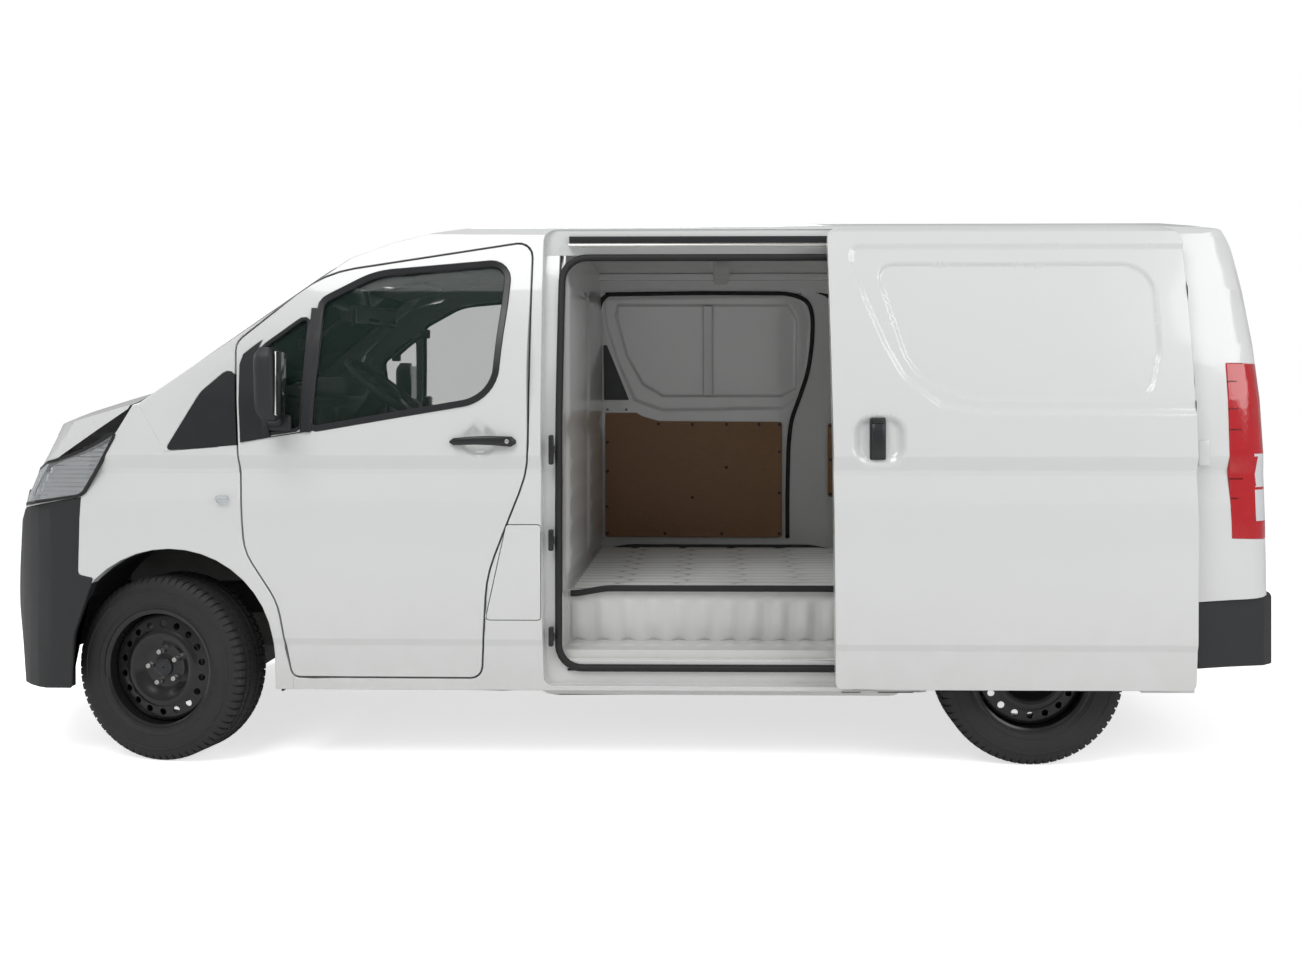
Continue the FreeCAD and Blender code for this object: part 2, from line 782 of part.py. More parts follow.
# Floor, from the toe board to the tail
def cab_floor():
    """The cab's floor and toe board, and the step that the bulkhead stands on."""
    step, cab, plate, at = size("step_floor"), size("cab_floor"), size("floor_plate"), size("bulkhead_at")
    side = HALF - BAND
    corners = [(-440, cab - plate), (-200, 820), (-200, 1368), (-225, 1368), (-225, 835), (-450, cab)]
    toe = [side_point(x, z) for x, z in corners]
    pieces = [across(Part.makePolygon([*toe, toe[0]]), -side, side)]
    for low in (side - 50, -side):
        pieces.append(slab((-at, -440), (low, low + 50), (step - 32, cab - plate)))
    return slab((-at - size("bulkhead_plate"), -440), (-side, side), (cab - plate, cab)).fuse(pieces)


def cargo_floor():
    """The flat load floor with its wheel boxes and lashing holes."""
    load, plate, inner = size("load_floor"), size("floor_plate"), size("step_inner")
    back, radius = -size("bulkhead_at") - size("bulkhead_plate"), size("arch_radius")
    pan = slab((-4300, back), (-inner, inner), (load - plate, load)).common(CAVITY)
    pan = pan.fuse([
        slab((-4300, WELL_END), (-HALF, HALF), (load - plate, load)).common(CAVITY),
        slab((back - 20, back), (20 - inner, inner - 20), (size("cab_floor") - plate, load)),
    ])
    for low, high, room in ((inner, HALF, inner + 14), (-HALF, -inner, -HALF - 10)):
        cover = across(arch_wire(REAR_FROM_AXLE, radius + 14), low, high)
        cover = cover.common(slab((-4000, -2000), (low, high), (load - plate, 900)))
        pan = pan.fuse(cover).cut(across(arch_wire(REAR_FROM_AXLE, radius), room, room + HALF - inner - 4))
    pan = pan.cut(SLIDE_FRAME).cut(other_side(SLIDE_FRAME))
    for x in (-1700, -3700):
        for y in (-600, 600):
            pan = pan.cut(Part.makeCylinder(size("lashing_hole"), 100, side_point(x, load - 70, y)))
    return pan.removeSplitter()


def step_well():
    """The tray inside a sliding door's opening, a step below the load floor."""
    step, load, plate, inner = size("step_floor"), size("load_floor"), size("floor_plate"), size("step_inner")
    at, side = size("bulkhead_at"), HALF - BAND
    back = -at - size("bulkhead_plate")
    tray = slab((WELL_END, back), (inner - 20, side), (step - 32, step))
    return tray.fuse([
        slab((WELL_END, back), (inner - 20, inner), (step, load - plate)),
        slab((WELL_END, WELL_END + 20), (inner, side), (step, load)),
        slab((back, -at), (inner - 20, side), (step - 32, size("cab_floor") - plate)),
    ]).removeSplitter()


def arch_liner():
    """The inner roof of a front wheel arch, clear of the wheel at full lock."""
    liner = across(arch_wire(0, 410), 500, HALF).cut(across(arch_wire(0, 402), 500, HALF))
    return liner.common(slab((-600, 600), (500, HALF), (405, 900))).common(NOSE_HOLLOW)


def chassis_frame():
    """Two side rails joined by cross members, drilled for a tow bar behind."""
    low = size("rail_bottom")
    top = size("load_floor") - size("floor_plate")
    cab = size("cab_floor") - size("floor_plate")
    corners = [
        (-3990, low), (-3990, top), (-1560, top), (-1500, cab), (-430, cab), (-250, 600), (680, 600),
        (680, 480), (-300, 480), (-460, 400), (-1480, 400), (-1560, low),
    ]
    side = [side_point(x, z) for x, z in corners]
    rail = Part.makePolygon([*side, side[0]])
    middle, half = size("rail_middle"), size("rail_width") / 2
    reach = middle - half
    frame = across(rail, reach, middle + half).fuse([
        across(rail, -middle - half, -reach),
        slab((600, 680), (-reach, reach), (500, 580)),
        slab((-1480, -1400), (-reach, reach), (400, 480)),
        slab((-2640, -2560), (-reach, reach), (low + 20, top)),
        slab((-3990, -3930), (-reach, reach), (low, top)),
    ])
    for x in (-3900, -3700):
        for y in (-middle, middle):
            frame = frame.cut(Part.makeCylinder(size("tow_hole"), 60, side_point(x, low - 1, y)))
    return frame


for label, shape in {
    "cowl": cowl(),
    "rear_panel": rear_panel(),
    "bulkhead": bulkhead(),
    "grille": grille(),
    "rear_bumper": rear_bumper(),
    "cab_floor": cab_floor(),
    "cargo_floor": cargo_floor(),
    "chassis_frame": chassis_frame(),
}.items():
    sub_part(label, shaped(label, solids(shape)))

for label, shape in {
    "quarter_trims": quarter_trim(),
    "tail_lamps": tail_lamp(),
    "arch_liners": arch_liner(),
    "step_wells": step_well(),
    "front_wings": front_wing(),
}.items():
    sub_part(label, both_sides(label, shaped(label + "_shape", solids(shape))))


def front(offset):
    return "%s + (%s)" % (AXLE, offset)


def rear(offset):
    return "%s + (%s)" % (REAR_AXLE, offset)


# Wheels, as flat-sided rings about the axle
def ringed(profile, sides):
    """A closed (radius, offset) profile swept round the Y axis in flat steps, one step flat on the ground."""
    stretch = 1 / math.cos(math.pi / sides)
    rings = []
    for radius, offset in profile:
        spots = arc_offsets(radius * stretch, 180 / sides, 360 + 180 / sides, sides)
        rings.append([Vector(x, offset, z) for z, x in spots[:-1]])
    faces = []
    for near, far in zip(rings, rings[1:] + rings[:1]):
        for index in range(sides):
            following = (index + 1) % sides
            faces += patch([near[index], near[following], far[following], far[index]])
    solid = Part.Solid(Part.Shell(faces))
    if solid.Volume < 0:
        solid.reverse()
    return solid.removeSplitter()


def tyre():
    bore, radius, half = size("tyre_bore") + 0.3, size("tyre_radius"), size("tyre_width") / 2
    return ringed([
        (bore, -82), (radius - 58, -half), (radius - 14, -92), (radius, -76), (radius, 76),
        (radius - 14, 92), (radius - 58, half), (bore, 82)], WHEEL_SIDES)


def rim():
    bore, inside = size("tyre_bore"), size("tyre_bore") - size("rim_wall")
    disc = ringed([
        (bore, -90), (bore, 90), (inside, 90), (inside, 60), (130, 72), (70, 50), (20, 50), (20, 38),
        (inside, 38), (inside, -90)], WHEEL_SIDES)
    bored = size("hub_radius") + size("hub_clearance")
    hole = Part.makeCylinder(bored, 30, Vector(0, 30, 0), Vector(0, 1, 0))
    return disc.cut(hole)


def wheel(label, spot, turn):
    """A tyre and its rim, turned about the upright through their centre."""
    for kind, shape in (("tyre_", TYRE), ("rim_", RIM)):
        item = sub_part(kind + label, shaped(kind + label, shape))
        item.Placement = Placement(spot, Rotation(Vector(0, 0, 1), turn))


WHEEL_SIDES = 36
TYRE = tyre()
RIM = rim()
STEER = -size("steer_rest")
HUB = size("tyre_radius")
OFFSET = size("kingpin_offset")
KINGPIN = size("track_half") - OFFSET
LEAN_X = OFFSET * math.sin(math.radians(-STEER))
LEAN_Y = OFFSET * math.cos(math.radians(STEER))
wheel("front_left", Vector(FRONT_AXLE + LEAN_X, KINGPIN + LEAN_Y, HUB), STEER)
wheel("front_right", Vector(FRONT_AXLE - LEAN_X, -KINGPIN - LEAN_Y, HUB), 180 + STEER)
wheel("rear_left", Vector(FRONT_AXLE + REAR_FROM_AXLE, size("track_half"), HUB), 0)
wheel("rear_right", Vector(FRONT_AXLE + REAR_FROM_AXLE, -size("track_half"), HUB), 180)


def disc_bar(radius, sides, start, reach):
    """A flat-sided bar along Y, between two stations."""
    rings = []
    for y in (start, reach):
        spots = arc_offsets(radius, 180 / sides, 360 + 180 / sides, sides)
        rings.append([Vector(x, y, HUB + z) for z, x in spots[:-1]])
    return faceted(rings)


def knuckle(label, sign):
    """Kingpin boss, stub axle and brake, square to the wheel."""
    rings = []
    for z in (HUB - 75, HUB + 75):
        rings.append([Vector(x, y, z) for x, y in arc_offsets(34, 0, 315, 7)])
    boss = faceted(rings)
    stub = Part.makeCylinder(size("hub_radius"), 40, Vector(0, sign * (OFFSET + 13), HUB), Vector(0, sign, 0))
    drum = disc_bar(128, 18, sign * 58, sign * 103)
    carrier = Part.makeBox(60, 60, 110, Vector(-30, 10 if sign > 0 else -70, HUB - 55))
    shape = boss.fuse([stub, drum, carrier]).removeSplitter()
    hole = Part.makeCylinder(size("kingpin_radius") + size("hub_clearance"), 300, Vector(0, 0, HUB - 150))
    item = sub_part(label, shaped(label, shape.cut(hole)))
    item.Placement = Placement(Vector(FRONT_AXLE, sign * KINGPIN, 0), Rotation(Vector(0, 0, 1), STEER))


knuckle("knuckle_left", 1)
knuckle("knuckle_right", -1)

# Front suspension and engine
rail_inside = "rail_middle - rail_width / 2"
rail_outside = "rail_middle + rail_width / 2"
arm_end = "track_half - kingpin_offset + 24"
front_cross = block("front_cross", (front("-90"), front("90")),
                    ("-(%s)" % rail_inside, rail_inside), ("200", "300"))
pin = rod("pin", "kingpin_radius", (front("0"), "track_half - kingpin_offset", "tyre_radius - 95"), "190")
lower_arm = block("lower_arm", (front("-40"), front("40")), (rail_inside, arm_end),
                  ("tyre_radius - 115", "tyre_radius - 75.3"))
upper_arm = block("upper_arm", (front("-40"), front("40")), (rail_inside, arm_end),
                  ("tyre_radius + 75.3", "tyre_radius + 105"))
post = block("post", (front("-90"), front("90")), (rail_inside, rail_outside), ("200", "480"))
arms = joined("arms", [pin, lower_arm, upper_arm, post])
sub_part("front_suspension", joined("front_suspension", [front_cross, arms, mirrored("arms_right", arms)]))

engine = block("engine", (front("-160"), front("450")), ("-230", "230"), ("300", "930"))
gearbox = block("gearbox", (front("-700"), front("-160")), ("-130", "130"), ("300", "500"))
sub_part("engine_block", joined("engine_block", [engine, gearbox]))

# Rear axle, springs, fuel tank and exhaust
axle_tube = bar("axle_tube", 12, "axle_tube",
                (rear("0"), "20 - track_half", "tyre_radius"), "2 * track_half - 40", "Y")
stub_left = rod("stub_left", "hub_radius", (rear("0"), "track_half + 10", "tyre_radius"), "43", "Y")
stub_right = rod("stub_right", "hub_radius", (rear("0"), "-track_half - 53", "tyre_radius"), "43", "Y")
casing = bar("casing", 12, "115", (rear("0"), "-95", "tyre_radius"), "190", "Y")
drum_left = bar("drum_left", 18, "128", (rear("0"), "track_half - 32", "tyre_radius"), "45", "Y")
drum_right = bar("drum_right", 18, "128", (rear("0"), "-track_half - 13", "tyre_radius"), "45", "Y")
shaft = bar("shaft", 10, "34", (rear("100"), "0", "tyre_radius"), "wheelbase - 800", "X")
spring_low = "spring_middle - spring_width / 2"
spring_high = "spring_middle + spring_width / 2"
pad = block("pad", (rear("-60"), rear("60")), (spring_low, spring_high),
            ("tyre_radius", "tyre_radius + axle_tube + 12"))
sub_part("rear_axle", joined("rear_axle", [
    axle_tube, stub_left, stub_right, casing, drum_left, drum_right, shaft, pad, mirrored("pad_right", pad)]))


def leaf_spring():
    """A curved leaf pack hung from the chassis rail at each end."""
    seat = HUB + size("axle_tube") + 12
    sag, reach, pack = 70, 620, 30
    stations = [reach * step / 4 for step in range(-4, 5)]
    low = [side_point(REAR_FROM_AXLE + x, seat + sag * (x / reach) ** 2) for x in stations]
    flatter = sag - pack / 2
    high = [side_point(REAR_FROM_AXLE + x, seat + pack + flatter * (x / reach) ** 2) for x in stations]
    wire = Part.makePolygon([*low, *reversed(high), low[0]])
    half = size("spring_width") / 2
    outer = size("spring_middle") + half
    spring = across(wire, size("spring_middle") - half, outer)
    face = size("rail_middle") + size("rail_width") / 2
    for x in (REAR_FROM_AXLE - reach, REAR_FROM_AXLE + reach):
        spring = spring.fuse(slab((x - 25, x + 25), (face, outer), (seat + sag - 20, seat + sag + 60)))
    return spring.removeSplitter()


sub_part("leaf_springs", both_sides("leaf_springs", shaped("leaf_spring", leaf_spring())))
sub_part("fuel_tank", block("fuel_tank", (front("-2540"), front("-1620")), ("60", "%s - 5" % rail_inside),
                            ("330", "load_floor - floor_plate")))


def tail_pipe():
    """The pipe that climbs over the rear axle and drops to its outlet."""
    route = [(-2090, 370), (-2750, 370), (-2900, 480), (-3450, 480), (-3650, 340), (-4060, 340)]
    rings = []
    for x, z in route:
        rings.append([side_point(x, z + up, out - 575) for out, up in arc_offsets(24, 0, 324, 9)])
    return faceted(rings)


silencer = bar("silencer", 14, "80", (front("-2100"), "-575", "370"), "600", "X")
front_pipe = bar("front_pipe", 9, "24", (front("-1510"), "-575", "370"), "1034", "X")
cross_pipe = bar("cross_pipe", 9, "24", (front("-476"), "-575", "370"), "445", "Y")
sub_part("exhaust", joined("exhaust", [silencer, front_pipe, cross_pipe, shaped("tail_pipe", tail_pipe())]))

spare_radius, spare_half = size("tyre_radius"), size("tyre_width") / 2
spare = sub_part("spare_wheel", shaped("spare_wheel", ringed([
    (30, -spare_half), (spare_radius - 30, -spare_half), (spare_radius, -76), (spare_radius, 76),
    (spare_radius - 30, spare_half), (205, spare_half), (195, 40), (30, 40)], 24)))
spare.Placement = Placement(
    Vector(FRONT_AXLE - 3705, 0, size("rail_bottom") - spare_half), Rotation(Vector(1, 0, 0), -90))


# Cab
def seat(low, high, rests):
    """Cushion, back and head rests of a seat between two stations across the cab."""
    cab = size("cab_floor")
    cushion = outline([
        (-1290, cab + 240, 0), (-770, cab + 240, 0), (-750, cab + 340, 0), (-790, cab + 400, 0),
        (-1150, cab + 370, 0), (-1180, cab + 400, 0), (-1275, cab + 930, 0), (-1330, cab + 960, 0),
        (-1400, cab + 940, 0),
    ])
    shape = across(cushion, low, high)
    for y in rests:
        rest = outline([
            (-1310, cab + 975, 0), (-1300, cab + 1120, 0), (-1370, cab + 1135, 0), (-1400, cab + 975, 0)])
        shape = shape.fuse(across(rest, y - 130, y + 130))
        for stalk in (y - 60, y + 60):
            stem = Part.makeBox(12, 12, 60, side_point(-1366, cab + 930, stalk - 6))
            shape = shape.fuse(stem)
    return shape.removeSplitter()


def dashboard():
    profile = [
        (-225, 1395), (-225, 960), (-420, 940), (-560, 1090), (-590, 1250), (-540, 1345), (-320, 1395),
    ]
    corners = [side_point(x, z) for x, z in profile]
    shelf = [(-320, 1395), (-225, 1381), (200, 1381), (200, 1405), (-300, 1405)]
    upper = [side_point(x, z) for x, z in shelf]
    panel = across(Part.makePolygon([*corners, corners[0]]), -HALF, HALF)
    panel = panel.fuse(across(Part.makePolygon([*upper, upper[0]]), -HALF, HALF)).common(CAVITY)
    panel = panel.cut(DOOR_FRAME).cut(other_side(DOOR_FRAME)).removeSplitter()
    column = steering_column()
    column.Placement = helm_place()
    return panel.cut(column)


def steering_column():
    return faceted([
        [Vector(x, y, z) for x, y in arc_offsets(28, 22.5, 337.5, 7)] for z in (-330, -30)])


def helm_place():
    """Where the steering wheel stands, square to the column's slope."""
    return Placement(side_point(-690, 1390, 430), Rotation(Vector(0, 1, 0), -38))


def steering_wheel():
    """A rim, one wide spoke and the column, square to the column's slope."""
    big, tube = 190, 14
    inner, outer = big - tube, big + tube
    ring = faceted([
        [Vector(x, y, z) for x, y in arc_offsets(radius, 0, 342, 19)]
        for radius, z in ((big - 5, -tube), (outer, -5), (outer, 5), (big - 5, tube))])
    hole = faceted([
        [Vector(x, y, z) for x, y in arc_offsets(radius, 0, 342, 19)]
        for radius, z in ((inner, -tube - 1), (inner, tube + 1))])
    hub = Part.makeBox(130, 110, 34, Vector(-65, -55, -34))
    spoke = Part.makeBox(44, 2 * inner + 6, 12, Vector(-22, -inner - 3, -14))
    return ring.cut(hole).fuse([hub, spoke, steering_column()]).removeSplitter()


driver_seat = shaped("driver_seat", seat(180, 680, (430,)))
sub_part("seats", beside("seats", [driver_seat, shaped("bench", seat(-780, 60, (-570, -150)))]))
base_reach = (front("-1250"), front("-850"))
base_rise = ("cab_floor", "cab_floor + 240")
driver_base = block("driver_base", base_reach, ("220", "640"), base_rise)
bench_base = block("bench_base", base_reach, ("-740", "20"), base_rise)
sub_part("seat_bases", beside("seat_bases", [driver_base, bench_base]))
sub_part("dashboard", shaped("dashboard", solids(dashboard())))
helm = sub_part("steering_wheel", shaped("steering_wheel", steering_wheel()))
helm.Placement = helm_place()


# Fittings outside
def mirror():
    """A door mirror on its foot, standing off the front of the door."""
    reach = size("mirror_reach")
    shell = faceted([
        [side_point(x, z, y) for y, z in ((low, 1335), (reach - cut, 1350), (reach - cut, 1545), (low, 1560))]
        for x, low, cut in ((-470, 962, 6), (-440, 960, 0), (-400, 960, 0), (-372, 985, 30))])
    foot = faceted([
        [side_point(x, z, y) for x, y in ((-400, 880), (-330, 880), (-330, 985), (-372, 1020), (-400, 1020))]
        for z in (1225, 1345)])
    return shell.fuse(foot.cut(CABIN)).removeSplitter()


def door_handle():
    grip = slab((-1290, -1170), (HALF, HALF + 96), (1176, 1216))
    return grip.cut(CABIN)


def door_rails():
    """The rails of the sliding door: over the opening, in the sill and along the rear quarter."""
    upper = CAVITY.common(slab((-2650, -1480), (700, HALF), (1900, 1925)))
    upper = upper.cut(SLIDE_FRAME).cut(SEAL).cut(hollow(70))
    centre = slab((-3990, -2740), (HALF, 978), (1100, 1130)).cut(CABIN)
    arm = slab((-2536, -2476), (HALF, HALF + size("slide_out")), (325, 350))
    roller = slab((-3740, -3690), (978, HALF + size("slide_out")), (1100, 1130))
    return [upper, centre.fuse(roller).removeSplitter(), arm]


def lining():
    """Plywood sheets on the rear quarter and on the closed sliding door."""
    quarter = slab((-3900, -2780), (HALF - 6, HALF), (642, 1140))
    quarter = quarter.cut(across(arch_wire(REAR_FROM_AXLE, 415), 800, BEYOND))
    door = slab((-2600, -1520), (-HALF, 6 - HALF), (642, 1140))
    return [*quarter.Solids, *other_side(quarter).Solids, door]


def wiper(low, high):
    """A wiper arm lying just ahead of the windscreen, between two (y, z) points."""
    strip = [end_point(low[0], low[1] - 9), end_point(high[0], high[1] - 6),
             end_point(high[0], high[1] + 6), end_point(low[0], low[1] + 9)]
    stick = along(Part.makePolygon([*strip, strip[0]]), -300, 400)
    return stick.common(screen_form(-14)).cut(screen_form(-1))


for label, maker in (("mirror", mirror), ("door_handle", door_handle)):
    left = sub_part(label + "_left", shaped(label + "_left", maker()))
    sub_part(label + "_right", mirrored(label + "_right", left))
sub_part("door_rails", shaped("door_rails", Part.makeCompound(door_rails())))
sub_part("lining_panels", shaped("lining_panels", Part.makeCompound(lining())))
sub_part("wipers", shaped("wipers", Part.makeCompound([
    *wiper((-620, 1450), (-120, 1475)).Solids, *wiper((30, 1450), (560, 1475)).Solids])))
sub_part("door_seal", shaped("door_seal", solids(SEAL.cut(inner_sill()))))

# Write every sub-part
doc.recompute()
for item in doc.Objects:
    if "Invalid" in item.State or "Error" in item.State:
        raise RuntimeError("failed: " + item.Label)
os.makedirs("parts", exist_ok=True)
for item in PARTS:
    if item.Shape.isNull() or not item.Shape.isValid() or not item.Shape.Solids:
        raise RuntimeError("bad shape: " + item.Label)
    item.Shape.exportStep(os.path.join("parts", item.Label + ".step"))
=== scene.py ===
import math

import bmesh
import bpy
import numpy as np
from mathutils import Matrix, Vector
from mathutils.bvhtree import BVHTree


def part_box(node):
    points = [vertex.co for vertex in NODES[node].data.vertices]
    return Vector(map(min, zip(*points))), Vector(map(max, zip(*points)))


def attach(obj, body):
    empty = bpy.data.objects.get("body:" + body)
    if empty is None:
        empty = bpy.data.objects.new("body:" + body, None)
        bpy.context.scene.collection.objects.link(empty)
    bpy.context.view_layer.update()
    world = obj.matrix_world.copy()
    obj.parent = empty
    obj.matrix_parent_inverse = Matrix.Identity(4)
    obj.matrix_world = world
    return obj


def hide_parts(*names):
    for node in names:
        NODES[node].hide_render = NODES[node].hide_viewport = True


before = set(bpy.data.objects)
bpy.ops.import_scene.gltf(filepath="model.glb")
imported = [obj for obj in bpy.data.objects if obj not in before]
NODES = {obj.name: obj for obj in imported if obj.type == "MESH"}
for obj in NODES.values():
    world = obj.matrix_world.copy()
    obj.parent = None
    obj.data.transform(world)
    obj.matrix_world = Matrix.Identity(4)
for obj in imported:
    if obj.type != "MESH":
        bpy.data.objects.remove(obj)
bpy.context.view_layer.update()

FRONT_AXLE = 1655.0
SIDES = (("left", 1.0), ("right", -1.0))
AHEAD, ACROSS, UP = Vector((1, 0, 0)), Vector((0, 1, 0)), Vector((0, 0, 1))


def row_x(ahead):
    """Metres along the row's X from millimetres ahead of the front axle."""
    return (FRONT_AXLE + ahead) / 1000


# Materials
SMOOTHEST = 0.02
COAT_ROUGHNESS = 0.06
DUST = (0.42, 0.39, 0.34)
DUST_FROM, DUST_TO = 0.25, 0.75
WEAVE = 240.0
THREAD = (0.2, 0.2, 0.22)
PLY_DARK, PLY, PLY_PALE, PLY_SPOTS = (
    (0.265, 0.130, 0.058), (0.30, 0.155, 0.075), (0.375, 0.205, 0.103), (0.22, 0.108, 0.047))


class Surface:
    """Builds one node material around a Principled shader."""

    def __init__(self, name, color, rough, metallic=0.0, coat=0.0, sheen=0.0):
        self.material = bpy.data.materials.new(name)
        self.material.use_nodes = True
        self.tree = self.material.node_tree
        self.shader = self.tree.nodes["Principled BSDF"]
        self.color = color
        self.rough = rough
        self.put("Base Color", (*color, 1))
        self.put("Roughness", rough)
        self.put("Metallic", metallic)
        self.put("Coat Weight", coat)
        self.put("Coat Roughness", COAT_ROUGHNESS)
        self.put("IOR", 1.5)
        self.put("Sheen Weight", sheen)
        self.place = self.node("ShaderNodeTexCoord").outputs["Object"]

    def put(self, socket, value):
        self.shader.inputs[socket].default_value = value

    def node(self, kind, **settings):
        made = self.tree.nodes.new(kind)
        for key, value in settings.items():
            if key in made.inputs:
                made.inputs[key].default_value = value
            else:
                setattr(made, key, value)
        return made

    def join(self, out, into):
        self.tree.links.new(out, into)

    def stretched(self, scale):
        mapping = self.node("ShaderNodeMapping")
        mapping.inputs["Scale"].default_value = scale
        self.join(self.place, mapping.inputs["Vector"])
        return mapping.outputs[0]

    def noise(self, scale, detail=3.0, stretch=None, rough=0.55):
        made = self.node("ShaderNodeTexNoise", Scale=scale, Detail=detail, Roughness=rough)
        self.join(self.stretched(stretch) if stretch else self.place, made.inputs["Vector"])
        return made.outputs["Fac"]

    def cells(self, scale, stretch=None):
        made = self.node("ShaderNodeTexVoronoi", Scale=scale)
        self.join(self.stretched(stretch) if stretch else self.place, made.inputs["Vector"])
        return made.outputs["Distance"]

    def wave(self, scale, direction):
        made = self.node("ShaderNodeTexWave", Scale=scale, Detail=1.0, bands_direction=direction)
        self.join(self.place, made.inputs["Vector"])
        return made.outputs["Fac"]

    def ramp(self, source, low, high, start=0.0, end=1.0):
        made = self.node("ShaderNodeMapRange")
        for key, value in (("From Min", start), ("From Max", end), ("To Min", low), ("To Max", high)):
            made.inputs[key].default_value = value
        self.join(source, made.inputs["Value"])
        return made.outputs["Result"]

    def math(self, operation, a, b):
        made = self.node("ShaderNodeMath", operation=operation)
        for index, value in enumerate((a, b)):
            if isinstance(value, (int, float)):
                made.inputs[index].default_value = value
            else:
                self.join(value, made.inputs[index])
        return made.outputs[0]

    def mixed(self, factor, low, high):
        made = self.node("ShaderNodeMix", data_type="RGBA")
        made.inputs["A"].default_value = (*low, 1)
        made.inputs["B"].default_value = (*high, 1)
        self.join(factor, made.inputs["Factor"])
        return made.outputs["Result"]

    def blended(self, factor, under, over):
        """Mix a colour output with a plain colour."""
        made = self.node("ShaderNodeMix", data_type="RGBA")
        self.join(under, made.inputs["A"])
        made.inputs["B"].default_value = (*over, 1)
        self.join(factor, made.inputs["Factor"])
        return made.outputs["Result"]

    def tint(self, source, spread):
        """Vary the base colour by a share either way."""
        low = tuple(c * (1 - spread) for c in self.color)
        high = tuple(min(1.0, c * (1 + spread)) for c in self.color)
        result = self.mixed(source, low, high)
        self.join(result, self.shader.inputs["Base Color"])
        return result

    def roughen(self, source, spread):
        varied = self.ramp(source, max(SMOOTHEST, self.rough - spread), self.rough + spread)
        self.join(varied, self.shader.inputs["Roughness"])

    def bump(self, source, strength, distance):
        made = self.node("ShaderNodeBump", Strength=strength, Distance=distance)
        self.join(source, made.inputs["Height"])
        self.join(made.outputs["Normal"], self.shader.inputs["Normal"])


def paint(name, color, rough, dust=0.25):
    """Gloss paint with orange peel, slight clouding and road dust low down."""
    made = Surface(name, color, rough, coat=0.7)
    base = made.tint(made.noise(2.3, 4), 0.012)
    height = made.node("ShaderNodeSeparateXYZ")
    made.join(made.place, height.inputs[0])
    low = made.ramp(height.outputs["Z"], dust, 0.0, DUST_FROM, DUST_TO)
    grime = made.math("MULTIPLY", low, made.noise(9.0, 6))
    made.join(made.blended(grime, base, DUST), made.shader.inputs["Base Color"])
    made.roughen(made.noise(14.0, 5), 0.05)
    made.bump(made.noise(260.0, 1), 0.012, 0.0003)
    return made.material


def plastic(name, color, rough, grain=700.0, depth=0.25, worn=0.12):
    """Moulded plastic with a fine leather grain."""
    made = Surface(name, color, rough)
    made.tint(made.noise(6.0, 5), worn)
    made.roughen(made.noise(18.0, 4), 0.07)
    made.bump(made.cells(grain), depth, 0.0005)
    return made.material


def metal(name, color, rough, metallic=1.0, grain=90.0, depth=0.1, spread=0.1, stretch=None):
    made = Surface(name, color, rough, metallic=metallic)
    made.tint(made.noise(12.0, 5), spread)
    made.roughen(made.noise(grain / 2, 4, stretch), 0.08)
    made.bump(made.noise(grain, 3, stretch), depth, 0.0006)
    return made.material


def tinted(name, color, clear, rough=0.02):
    """Glass that lets most light through face on and reflects at the edges."""
    made = Surface(name, color, rough)
    facing = made.node("ShaderNodeFresnel", IOR=1.45).outputs[0]
    made.join(made.ramp(facing, 1.0 - clear, 1.0), made.shader.inputs["Alpha"])
    made.join(made.ramp(made.noise(7.0, 3), rough, rough + 0.03), made.shader.inputs["Roughness"])
    return made.material


def cloth(name, color):
    """Woven seat cloth."""
    made = Surface(name, color, 0.9, sheen=0.35)
    weave = made.math("MULTIPLY", made.wave(WEAVE, "X"), made.wave(WEAVE, "Z"))
    weave = made.math("ADD", weave, made.math("MULTIPLY", made.wave(WEAVE, "Y"), 0.5))
    base = made.tint(made.noise(160.0, 2), 0.3)
    threads = made.blended(made.math("MULTIPLY", weave, 0.18), base, THREAD)
    made.join(threads, made.shader.inputs["Base Color"])
    made.bump(weave, 0.5, 0.0008)
    return made.material


def plywood(name):
    """Brown film-faced plywood with long grain."""
    made = Surface(name, PLY, 0.5)
    grain = made.noise(16.0, 8, (1.0, 1.0, 9.0), 0.7)
    base = made.mixed(grain, PLY_DARK, PLY_PALE)
    spots = made.ramp(made.noise(42.0, 4), 0.0, 0.35, 0.55, 0.8)
    made.join(made.blended(spots, base, PLY_SPOTS), made.shader.inputs["Base Color"])
    made.roughen(made.noise(25.0, 4), 0.1)
    made.bump(made.noise(60.0, 6, (1.0, 1.0, 7.0)), 0.15, 0.0005)
    return made.material


def lamp_plastic(name, color):
    """Coloured lamp plastic with a fine pattern."""
    made = Surface(name, color, 0.12, coat=0.8)
    made.tint(made.noise(30.0, 3), 0.12)
    made.bump(made.cells(180.0, (1.0, 1.0, 0.4)), 0.25, 0.001)
    return made.material


WHITE = paint("white_paint", (0.76, 0.77, 0.765), 0.22)
INNER = paint("inner_white_paint", (0.70, 0.71, 0.70), 0.38, 0.12)
FLOOR_WHITE = paint("floor_white_paint", (0.70, 0.705, 0.69), 0.42, 0.3)
BLACK = plastic("grained_black_plastic", (0.022, 0.023, 0.025), 0.52)
TRIM = plastic("satin_black_trim", (0.018, 0.019, 0.021), 0.35, 1200.0, 0.12)
GLOSS = metal("gloss_black_steel", (0.012, 0.012, 0.013), 0.24, 0.0, 60.0, 0.06, 0.2)
RUBBER = plastic("black_rubber", (0.014, 0.014, 0.014), 0.62, 350.0, 0.1, 0.2)
TYRE = plastic("tyre_rubber", (0.022, 0.022, 0.022), 0.68, 240.0, 0.18, 0.25)
CHROME = metal("bright_reflector", (0.82, 0.83, 0.84), 0.12, 1.0, 30.0, 0.02, 0.04)
